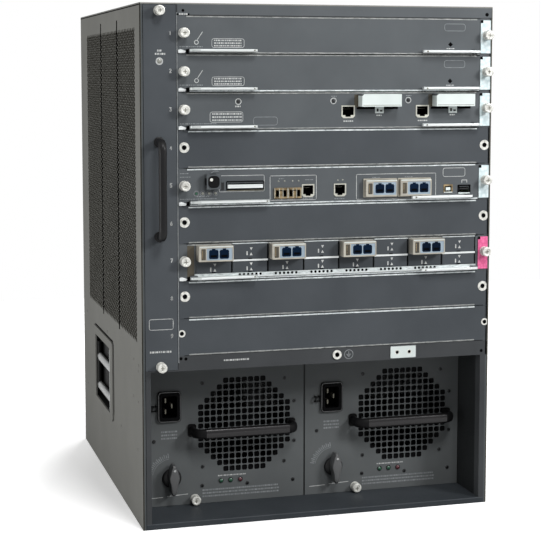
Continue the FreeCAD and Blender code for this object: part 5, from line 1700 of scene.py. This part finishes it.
@dataclass
class OpticCard(CardDress):
    """Card in slot 7: sixteen cells in two rows, flaps with plain signs, a divider and a vented sill."""

    slot: int = 7
    end_finish: Finish = PLATE_PINK
    columns: int = 8
    flap_gap: float = 2.5
    lower_row: Point = (8.6, 22.4)
    upper_row: Point = (24.2, 43.0)
    vents: int = 6
    vent_pitch: float = 5.1

    def cells(self) -> tuple[float, float]:
        """Gives the left edge of the first cell and the pitch of the columns."""
        first = float(node_box("slot_7_transceivers")[0][0]) - 1.5
        return first, (CAGE_RIGHT - SIDE_GAP - 13.6 - 4.3 - first) / self.columns

    def flap(self, x: float, wide: float, low: float, high: float) -> Parts:
        """Makes a flap's face, its sign and its notch: a short bar, and two arrow heads that face each other.

        Args:
            x: Left edge of the flap.
            wide: Width of the flap.
            low: Lower edge of its row.
            high: Upper edge of its row.

        Returns:
            The parts with their finishes.
        """
        face = rounded(x + 0.1, x + wide - 0.1, low + 0.4, high - 0.4, 0.9, 2)
        middle = x + wide / 2
        u, v = middle - 0.6, (low + high) / 2 - 0.4
        parts = [(prism(face, -1.26, -0.02), FILLER_GREY),
                 (block((u - 3.8, -1.32, v - 4.2), (u - 2.3, -1.18, v + 0.6)), INK)]
        for base, point in ((5.0, 1.6), (-4.4, -1.0)):
            arrow = [(u + 0.2, v + base), (u + 3.8, v + base), (u + 2.0, v + point)]
            parts.append((prism(arrow, -1.32, -1.18), INK))
        return parts + [(block((middle - 2.4, -1.5, low + 0.1), (middle + 2.4, -1.0, low + 1.5)), BLACK_AND_SHADE)]

    def marks(self) -> Parts:
        """Makes the flaps, the divider, the sill with its groups of round vents, a brown strip left of the
        first cell as painted shade of the modules' side, and dark gaps between the columns as painted shade.

        Returns:
            The parts with their finishes.
        """
        first, pitch = self.cells()
        right, wide = first + self.columns * pitch, pitch - self.flap_gap
        # The brown strip left of the first cell is painted shade on the side of the modules.
        parts = [(block((CAGE_LEFT + 10.2, -0.3, 4.4), (first - 1.2, 0.0, 42.0)), LATCH_BROWN)]
        for column in range(self.columns):
            x = first + column * pitch + 1.2
            end, odd = x + wide, column % 2
            for low, high in (self.lower_row, self.upper_row)[:1 + odd]:
                parts += self.flap(x, wide, low, high)
            parts.append((block((end + 0.25, -0.3, 8.3), (end + 2.0, 0.0, 43.0)), BLACK_AND_SHADE))
            if odd:
                parts += [(block((x - 0.4, -2.2, 22.2), (end + 0.6, -0.2, 24.3)), LEVER_WHITE),
                          (block((x - 0.4, -1.7, 42.9), (end + 0.6, -0.2, 43.9)), SPRING_METAL)]
            if 0 < column < self.columns - 1:
                for k in range(self.vents):
                    at = (x + wide / 2 + self.vent_pitch * (k - (self.vents - 1) / 2), 6.4)
                    parts.append((turned([(1.6, -1.85), (1.6, -1.98), (0.9, -2.0)], at, sides=12), BLACK_AND_SHADE))
        return parts + [(block((first - 1.0, -1.9, 4.0), (right + 0.6, -0.02, 8.5)), SPRING_METAL),
                        (block((first - 1.0, -2.1, 3.1), (right + 0.6, -0.1, 3.9)), LEVER_WHITE)]


@dataclass
class Transceivers:
    """Modules of one card, which ride on the card and get their faces."""

    slot: int
    lefts: tuple[float, ...]
    width: float

    def build(self) -> None:
        """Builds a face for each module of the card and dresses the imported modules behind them."""
        low, high = node_box(f"slot_{self.slot}_transceivers")
        piece = Piece(f"slot_{self.slot}_module_faces", f"card_{self.slot}", "module_shell")
        for left in self.lefts:
            piece.add(*OpticFace(left, left + self.width, low[2], high[2], low[1]).parts())
        piece.build()
        dress_nodes({f"slot_{self.slot}_transceivers": SHELL_STONE})


@dataclass
class Filler:
    """Blank plate of an empty slot: spring strips and bright washers with a flat towards the plate's end."""

    slot: int
    washers: tuple[tuple[float, float, int], ...]
    outer: float = 6.2
    inner: float = 2.9
    flat: float = 5.3
    strip_inset: float = 12.0
    line_inset: float = 6.0

    def build(self) -> None:
        """Builds the strips and washers: a washer is a ring cut off by a straight line, with a black hole."""
        foot, inset = slot_floor(self.slot), self.strip_inset
        line = block((CAGE_LEFT + self.line_inset, -0.1, 0.16), (CAGE_RIGHT - self.line_inset, 0.0, 0.7))
        name = f"slot_{self.slot}_filler_fittings"
        piece = Piece(name, "chassis", "nickel", origin=(0.0, 0.0, foot))
        piece.add(*CardDress(self.slot).strips(inset, inset, inset), END_SHADE, (line, BLACK_AND_SHADE))
        for x, height, side in self.washers:
            z = height - foot
            edge = circle((0.0, z), self.outer, 32)
            edge[:, 0] = x + side * np.maximum(edge[:, 0], -self.flat)
            hole = circle((0.0, z), self.inner, 32) * [side, 1] + [x, 0]
            bore = [(self.inner, 0.0), (self.inner, -0.2), (1.6, -0.22)]
            piece.add((collar(edge, hole, -0.5, 0.0), NICKEL), (turned(bore, (x, z), sides=20), BLACK_AND_SHADE))
        piece.build()
        dress_nodes({f"slot_{self.slot}_filler": BLANK})


# ---- power supplies -----------------------------------------------------------------------------


@dataclass
class PowerSupply:
    """Power supply: pierced faceplate, inlet, rotary switch, bow pull, lamps and screws.

    Parts are drawn from the lower left corner of the faceplate's front.
    """

    side: Side
    plate: float = 1.2
    grille_x: float = 130.8
    grille_rise: float = 98.0
    grille_pitch: float = 8.0
    grille_hole: float = 3.35
    grille_columns: int = 15
    grille_steps: int = 4
    inlet_at: Point = (35.0, 125.0)
    inlet_window: Point = (12.0, 16.0)
    inlet_depth: float = 16.9
    switch_at: Point = (37.5, 35.0)
    screw_at: Point = (66.8, 6.5)
    screws_left: float = 10.9
    lamp_lefts: tuple[float, ...] = (100.5, 112.8, 125.2)
    lamp_rise: float = 27.2

    @property
    def name(self) -> str:
        """Gives the name that the supply's nodes and body start with."""
        return f"psu_{self.side.value}"

    @property
    def origin(self) -> np.ndarray:
        """Gives the left edge, the front and the foot of the faceplate."""
        low, high = node_box(f"{self.name}_faceplate")
        return np.array([low[0], high[1] - self.plate, low[2]])

    def faceplate(self) -> Parts:
        """Makes the plate in two sheets: the left with the inlet's window, the right with the grille.

        The grille is an octagon: a row reaches seven holes to each side, less one for each row past the
        third from the middle.

        Returns:
            The parts with their finishes.
        """
        low, high = node_box(f"{self.name}_faceplate")
        width, _, height = high - low
        half, pitch = self.grille_columns // 2, self.grille_pitch
        steps = pitch * np.arange(self.grille_columns + 1)
        seam, start = self.grille_x - (half + 0.5) * pitch, self.grille_rise - (half + 0.5) * pitch
        u = np.concatenate([seam + steps, [width]])
        v = np.concatenate([[0.0], start + steps, [height]])
        rows = np.arange(-half, half + 1)
        reach = half - np.maximum(0, np.abs(rows) - (half - self.grille_steps))
        holes = [(column + half, row + half + 1) for row, far in zip(rows, reach)
                 for column in range(-far, far + 1)]
        (x, z), (wide, tall) = self.inlet_at, self.inlet_window
        a, b = np.array([0.0, x - wide, x + wide, seam]), np.array([0.0, z - tall, z + tall, height])
        closed, window = np.zeros((len(u) - 1, len(v) - 1), bool), np.zeros((3, 3), bool)
        window[1, 1] = True
        size, depths = (self.grille_hole, self.grille_hole), (0.0, self.plate)
        grille = pierced_sheet(u, v, closed, np.array(holes), size, *depths, Plane.FRONT, Weave.SQUARE)
        plain = pierced_sheet(a, b, window, np.zeros((0, 2), int), size, *depths, Plane.FRONT, Weave.SQUARE)
        # The walls of the grille's holes and of the inlet window are near-black as painted shade.
        return [(grille[0], SUPPLY_GREY), (plain[0], SUPPLY_GREY), (grille[1], BLACK_AND_SHADE), (plain[1], BLACK_AND_SHADE)]

    def screws(self) -> Parts:
        """Makes the dark screws, whose places are those on the left supply in the chassis.

        Returns:
            The parts with their finishes.
        """
        places = ((87.9, 159.2), (194.0, 159.8), (206.5, 130.2), (26.5, 89.6), (87.9, 53.8), (193.4, 53.9),
                  (206.5, 79.3), (87.3, 29.8), (145.4, 28.9), (205.1, 29.2))
        foot = self.origin[2]
        return [part for x, z in places for part in small_screw((x - self.screws_left, z - foot), 0.0, 2.3)]

    def prints(self) -> Parts:
        """Makes the scale round the switch, the line under it and the lamps.

        Tick k of the scale runs outward from one arc to another, and every second tick is shorter.

        Returns:
            The parts with their finishes.
        """
        x, z = self.switch_at
        turn = np.radians(np.linspace(98, 168, 15)).tolist()
        scale = [[(x + r * math.cos(t), z + r * math.sin(t)) for r in (26.0, 29.5 if k % 2 else 31.0)]
                 for k, t in enumerate(turn)]
        arc = [(x + 24.4 * math.cos(t), z + 24.4 * math.sin(t)) for t in turn]
        foot_line = [[(6.0, 10.5), (26.5, 11.2)],
                     [(32.0, 12.0), (58.0, 13.2)]]
        parts = [(strokes(scale, 1.0, -0.07, 0.0), FAINT_INK), (strokes([arc], 0.5, -0.07, 0.0), FAINT_INK),
                 (strokes(foot_line, 0.8, -0.07, 0.0), INK),
                 (small_print(76.0, 176.0, 6.5, 18.5, 3), FAINT_INK),
                 (small_print(24.0, 45.0, 83.0, 95.5, 3), FAINT_INK),
                 (small_print(96.0, 134.0, 32.0, 35.0), INK)]
        lens = [(2.45, 0.0), (2.4, -1.2), (1.7, -1.8), (0.5, -2.1)]
        for offset, finish in zip(self.lamp_lefts, (GREEN_LENS, GREEN_LENS, RED_LENS)):
            at = (offset, self.lamp_rise)
            parts += [(ring(at, 3.3, 2.4, -0.5, 0.0), DARK_SCREW), (turned(lens, at, sides=20), finish)]
        return parts

    def inlet(self) -> Parts:
        """Makes the inlet: a rounded flange with a paler line along its edge as painted highlight, a well
        lined in near-black as painted shade, and three blades.

        Returns:
            The parts with their finishes.
        """
        (x, z), back = self.inlet_at, self.inlet_depth
        flange, mouth, lip, neck = [rounded(x - w, x + w, z - h, z + h, radius) for w, h, radius in (
            (14.5, 19.2, 4.0), (9.6, 13.6, 2.6), (11.6, 15.6, 3.0), (11.75, 15.75, 2.0))]
        # The paler line along the flange's edge is a painted highlight.
        rim = outline(x - 13.6, x + 13.6, z - 18.3, z + 18.3, 3.6)
        parts = [(collar(flange, mouth, -3.0, 0.0), FAN_BLACK),
                 (collar(lip, mouth, -3.6, -2.9), FAN_BLACK),
                 (strokes([rim], 0.8, -3.15, -2.95), KNOB_GREY),
                 (collar(neck, mouth, 0.0, back), BLACK_AND_SHADE), (prism(neck, back, back + 3.0), BLACK_AND_SHADE)]
        for dx, dz in ((-4.0, 7.0), (-4.0, -7.0), (4.0, 0.0)):
            blade = rounded(x + dx - 0.8, x + dx + 0.8, z + dz - 2.8, z + dz + 2.8, 0.5, 2)
            parts.append((prism(blade, 3.0, back), DULL_METAL))
        return parts

    def wire_catch(self) -> Parts:
        """Makes the wire catch at the inlet's left: two bows across two rods.

        Returns:
            The parts with their finishes.
        """
        x, z = self.inlet_at
        edge = x - 15.5
        loop = bowed(((z - 4.6, 0.0), (z + 2.0, 0.0)), -5.2, 2.4)
        bows = [points(edge - 1.6 + shift, loop[:, 1], loop[:, 0]) for shift in (0.0, -5.2)]
        rods = [points(np.linspace(edge - 8.4, edge + 1.0, 8), -2.6, z + dz) for dz in (-4.0, 1.4)]
        return [*[(swept(path, oval(1.5, 1.5, 2.0, 10), (1, 0, 0)), RUBBER) for path in bows],
                *[(swept(path, oval(1.6, 1.6, 2.0, 10), (0, 1, 0)), RUBBER) for path in rods]]

    def knob(self) -> Part:
        """Makes the switch's grip: a long outline with a bulge above its middle, lofted inwards to its top.

        The outline's half width is a bell curve along its length on top of an even one, and it is rounded off
        towards both ends. Each higher layer is the outline drawn in towards the axis by a growing share, so
        that the top is rounded.

        Returns:
            Vertices and faces of the grip.
        """
        x, z = self.switch_at
        t = np.linspace(-1, 1, 15)
        bulge = 4.4 + 3.4 * np.exp(-((t - 0.15) / 0.42) ** 2)
        ends = np.sqrt(np.clip(1 - np.abs(t) ** 7, 0.12, 1))
        right = np.stack([bulge * ends, 19.6 * t], 1)
        left = np.stack([-(bulge * 0.82) * ends, 19.6 * t], 1)[::-1]
        u, v = np.concatenate([right, left]).T
        layers = ((1.0, -4.3), (1.0, -12.3), (0.94, -15.3), (0.8, -16.9), (0.55, -17.3))
        verts = [points(x + u * share, depth, z + v * (0.4 + 0.6 * share)) for share, depth in layers]
        return np.concatenate(verts), tube_faces(len(layers), len(u))

    def switch(self) -> Parts:
        """Makes the switch: a stepped disc, the grip and the white dot on it.

        Returns:
            The parts with their finishes.
        """
        x, z = self.switch_at
        disc = [(12.0, -0.3), (12.2, -1.4), (11.6, -3.2), (9.5, -4.3)]
        dot = [(1.5, -17.1), (1.4, -17.5), (0.6, -17.7)]
        return [(turned(disc, (x, z), sides=40), BLACK_PLASTIC), (self.knob(), KNOB_GREY),
                (turned(dot, (x + 0.8, z + 13.0), sides=14), INK)]

    def grip(self) -> Parts:
        """Makes the bow pull: rubber feet, ends and bends, and a polished sleeve along the bar.

        Returns:
            The parts with their finishes.
        """
        low, high = [corner - self.origin for corner in node_box(f"{self.name}_grip")]
        z, tall, deep = (low[2] + high[2]) / 2, high[2] - low[2], 9.0
        y, feet = low[1] + deep / 2, (low[0] + deep / 2, high[0] - deep / 2)
        line = bowed(((feet[0], 0.0), (feet[1], 0.0)), y, 11.0)
        bow = points(line[:, 0], line[:, 1], z)
        bar = points(np.linspace(low[0] + 17.0, high[0] - 14.0, 16), y, z)
        pads = [rounded(x - 5.4, x + 5.4, z - 8.0, z + 8.0, 3.0) for x in feet]
        return [(swept(bow, oval(tall - 1.0, deep - 0.6, 2.4), (0, 0, 1)), RUBBER),
                (swept(bar, oval(tall, deep, 2.5, 28), (0, 0, 1)), GUNMETAL),
                *[(prism(pad, -1.6, 0.0), RUBBER) for pad in pads]]

    def build(self) -> None:
        """Builds the supply's pieces and dresses its packed case and rotor."""
        name = self.name
        screw = thumbscrew(self.screw_at, 0.0)
        for piece, body, slot, parts, stood_for in (
                ("front", name, "supply_front", self.faceplate(), "faceplate"),
                ("fittings", name, "nickel", [*self.screws(), *self.prints(), *screw], None),
                ("power_inlet", name, "black_plastic", [*self.inlet(), *self.wire_catch()], "inlet"),
                ("pull", name, "black_plastic", self.grip(), "grip"),
                ("switch_knob", f"{name}_knob", "black_plastic", self.switch(), "switch")):
            replaces = (f"{name}_{stood_for}",) if stood_for else ()
            bevel = 0.3 if piece == "switch_knob" else 0.0
            unit = Piece(f"{name}_{piece}", body, slot, origin=self.origin).add(*parts)
            unit.build(bevel, replaces=replaces, weld=piece == "front")
        dress_nodes({f"{name}_case": SUPPLY_CASE, f"{name}_fan_rotor": FAN_BLACK})


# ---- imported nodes, stage and main ---------------------------------------------------------------


def dress_nodes(looks: dict[str, Finish]) -> None:
    """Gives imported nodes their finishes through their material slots.

    Args:
        looks: Finish of each node, by the node's name.
    """
    for node, finish in looks.items():
        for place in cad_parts[node].material_slots:
            place.material = made(finish)
        LOG.info("%s dressed in %s", node, finish.name)


def seen_rays(tree: bpy.types.NodeTree) -> Socket:
    """Adds up the rays that see the white surroundings: the camera's, glossy ones and those through lenses.

    Args:
        tree: Node tree of the material or world.

    Returns:
        A socket that is 1 for those rays and 0 for others.
    """
    path = tree.nodes.new("ShaderNodeLightPath")
    total = path.outputs["Is Camera Ray"]
    for kind in ("Is Glossy Ray", "Is Transmission Ray"):
        both = tree.nodes.new("ShaderNodeMath")
        both.use_clamp = True
        tree.links.new(total, both.inputs[0])
        tree.links.new(path.outputs[kind], both.inputs[1])
        total = both.outputs[0]
    return total


@dataclass
class Studio:
    """Pale floor, soft lamps and the camera."""

    place: tuple[float, float, float] = (-0.5305, -1.8979, 0.5381)
    heading: float = 15.654
    pitch: float = 5.503
    lens: float = 97.06
    shift: float = -0.10
    floor_reach: float = 1.6
    floor_share: Point = (0.34, 0.8)
    painted_shadow_ring: Point = (0.24, 0.45)
    surround: float = 0.3

    def camera(self) -> None:
        """Places the camera by its heading from straight ahead and its pitch below the horizon."""
        data = bpy.data.cameras.new("camera")
        data.lens, data.sensor_width, data.shift_y = self.lens, 36.0, self.shift
        data.clip_start, data.clip_end = 0.05, 60.0
        camera = placed("camera", data)
        camera.location = self.place
        camera.rotation_euler = (math.radians(90.0 - self.pitch), 0.0, math.radians(-self.heading))
        bpy.context.scene.camera = camera

    def lamp(self, name: str, place: Sequence[float], aim: Sequence[float], size: float, power: float,
             spread: float = 180.0) -> None:
        """Hangs a square soft lamp.

        Args:
            name: Name of the lamp.
            place: Where it hangs, in metres.
            aim: The point that it faces, in metres.
            size: Length of its side in metres.
            power: Power in watts.
            spread: Angle in degrees over which it shines.
        """
        data = bpy.data.lights.new(name, "AREA")
        data.shape, data.size, data.energy, data.spread = "SQUARE", size, power, math.radians(spread)
        light = placed(name, data)
        light.location = place
        light.rotation_euler = (Vector(aim) - Vector(place)).to_track_quat("-Z", "Y").to_euler()

    def floor_look(self) -> bpy.types.Material:
        """Makes the floor's material: grey for light that bounces off it, white where it is seen.

        What is seen of it also glows by a share that grows with the distance from the object: the weaker glow
        near by darkens the floor round the object as painted shadow that deepens its cast shadow, and further
        off it fades into the surroundings.

        Returns:
            The material.
        """
        look = Look("pale_floor", {"Specular IOR Level": 0.0})
        seen = seen_rays(look.material.node_tree)
        tone, cloud = look.between(seen, 0.0, 0.5, 0.0, 1.0), look.between(look.noise(3.0), 0.2, 0.5)
        shade = look.add("Math", {}, {0: tone, 1: cloud})
        greys = ((0.2, 176), (0.5, 180), (0.7, 246), (1.0, 250))
        stops = [(place, (grey, grey, grey)) for place, grey in greys]
        look.dress(look.ramp(shade.outputs[0], stops), look.noise(20.0), (0.8, 0.9))
        away = look.add("VectorMath", {}, {0: look.coord})
        away.operation = "LENGTH"
        reach = look.between(away.outputs["Value"], *self.floor_share, *self.painted_shadow_ring)
        share = look.add("Math", {}, {0: seen, 1: reach})
        share.operation = "MULTIPLY"
        glow = look.add("Emission", {}, {"Strength": share.outputs[0]})
        both = look.add("AddShader", {}, {0: look.shader.outputs["BSDF"], 1: glow.outputs["Emission"]})
        look.links.new(both.outputs["Shader"], look.nodes["Material Output"].inputs["Surface"])
        return look.material

    def floor(self) -> None:
        """Lays the floor as one square."""
        mesh = bpy.data.meshes.new("floor")
        far = self.floor_reach
        mesh.from_pydata([(-far, -far, 0), (far, -far, 0), (far, far, 0), (-far, far, 0)], [], [(0, 1, 2, 3)])
        floor = placed("floor", mesh)
        mesh.materials.append(self.floor_look())

    def sky(self) -> None:
        """Sets the surroundings: white behind the object and in glossy pieces, dim light otherwise."""
        world = bpy.data.worlds.new("surroundings")
        bpy.context.scene.world = world
        world.use_nodes = True
        tree = world.node_tree
        back = tree.nodes["Background"]
        preset(back, {"Color": (1.0, 1.0, 1.0, 1.0)})
        seen = tree.nodes.new("ShaderNodeMapRange")
        preset(seen, {"To Min": self.surround, "To Max": 1.0})
        tree.links.new(seen_rays(tree), seen.inputs["Value"])
        tree.links.new(seen.outputs["Result"], back.inputs["Strength"])

    def build(self) -> None:
        """Sets up floor, surroundings, lamps, camera and the plain view transform."""
        self.floor()
        self.sky()
        self.lamp("key_lamp", (1.1, -1.3, 1.1), (0.0, -0.2, 0.4), 0.4, 4.0, 80.0)
        self.lamp("overhead_lamp", (0.15, -1.5, 2.0), (0.05, -0.1, 0.25), 0.5, 23.0)
        self.lamp("left_low_lamp", (-2.2, -0.5, 0.3), (-0.2, 0.0, 0.35), 0.8, 3.0, 70.0)
        self.lamp("back_lamp", (0.8, 2.0, 1.2), (0.0, 0.2, 0.35), 0.8, 6.0, 80.0)
        self.camera()
        bpy.context.scene.view_settings.view_transform = "Standard"


def carried_over() -> dict[str, Finish]:
    """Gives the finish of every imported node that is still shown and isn't dressed by its own class.

    Returns:
        Finish of each node, by the node's name.
    """
    looks = {"top_cover": CASE_GREY, "base_pan": BASE_GREY, "rear_panel": CASE_GREY, "front_frame": BEAM_GREY,
             "power_shelf": BAY_DARK, "fan_bay_wall": INNER_STEEL, "right_guide_wall": INNER_STEEL,
             "backplane": BOARD_GREEN, "esd_jack": BLACK_AND_SHADE, "fan_tray_frame": TRAY_GREY,
             "fan_housings": FAN_BLACK}
    looks |= {f"fan_rotor_{number}": FAN_BLACK for number in range(1, 10)}
    return looks


def main() -> None:
    """Builds every sub-assembly in order and reports each one."""
    logging.basicConfig(level=logging.INFO, format="%(name)s: %(message)s")
    dress_nodes(carried_over())
    for side in Side:
        FlankPanel(side).build()
        CarryHandle(side).build()
    FrontSteel().build()
    FanTrayFront().build()
    for card in (CardDress(1), CardDress(2), PortCard(), SupervisorCard(), OpticCard()):
        card.build()
    first, pitch = OpticCard().cells()
    Transceivers(5, (274.7, 319.1), 39.9).build()
    Transceivers(7, tuple(first + 2 * k * pitch + 1.5 for k in range(4)), pitch - 3.1).build()
    Filler(4, ((51.8, 454.7, 1), (431.4, 453.1, -1))).build()
    Filler(6, ((51.8, 366.8, 1), (431.4, 365.4, -1))).build()
    Filler(8, ((51.8, 278.9, 1), (431.4, 277.0, -1))).build()
    Filler(9, ((47.8, 234.9, 1), (434.8, 231.7, -1)), outer=4.4, inner=2.5, flat=3.4).build()
    for side in Side:
        PowerSupply(side).build()
    Studio().build()


if __name__ == "__main__":
    main()
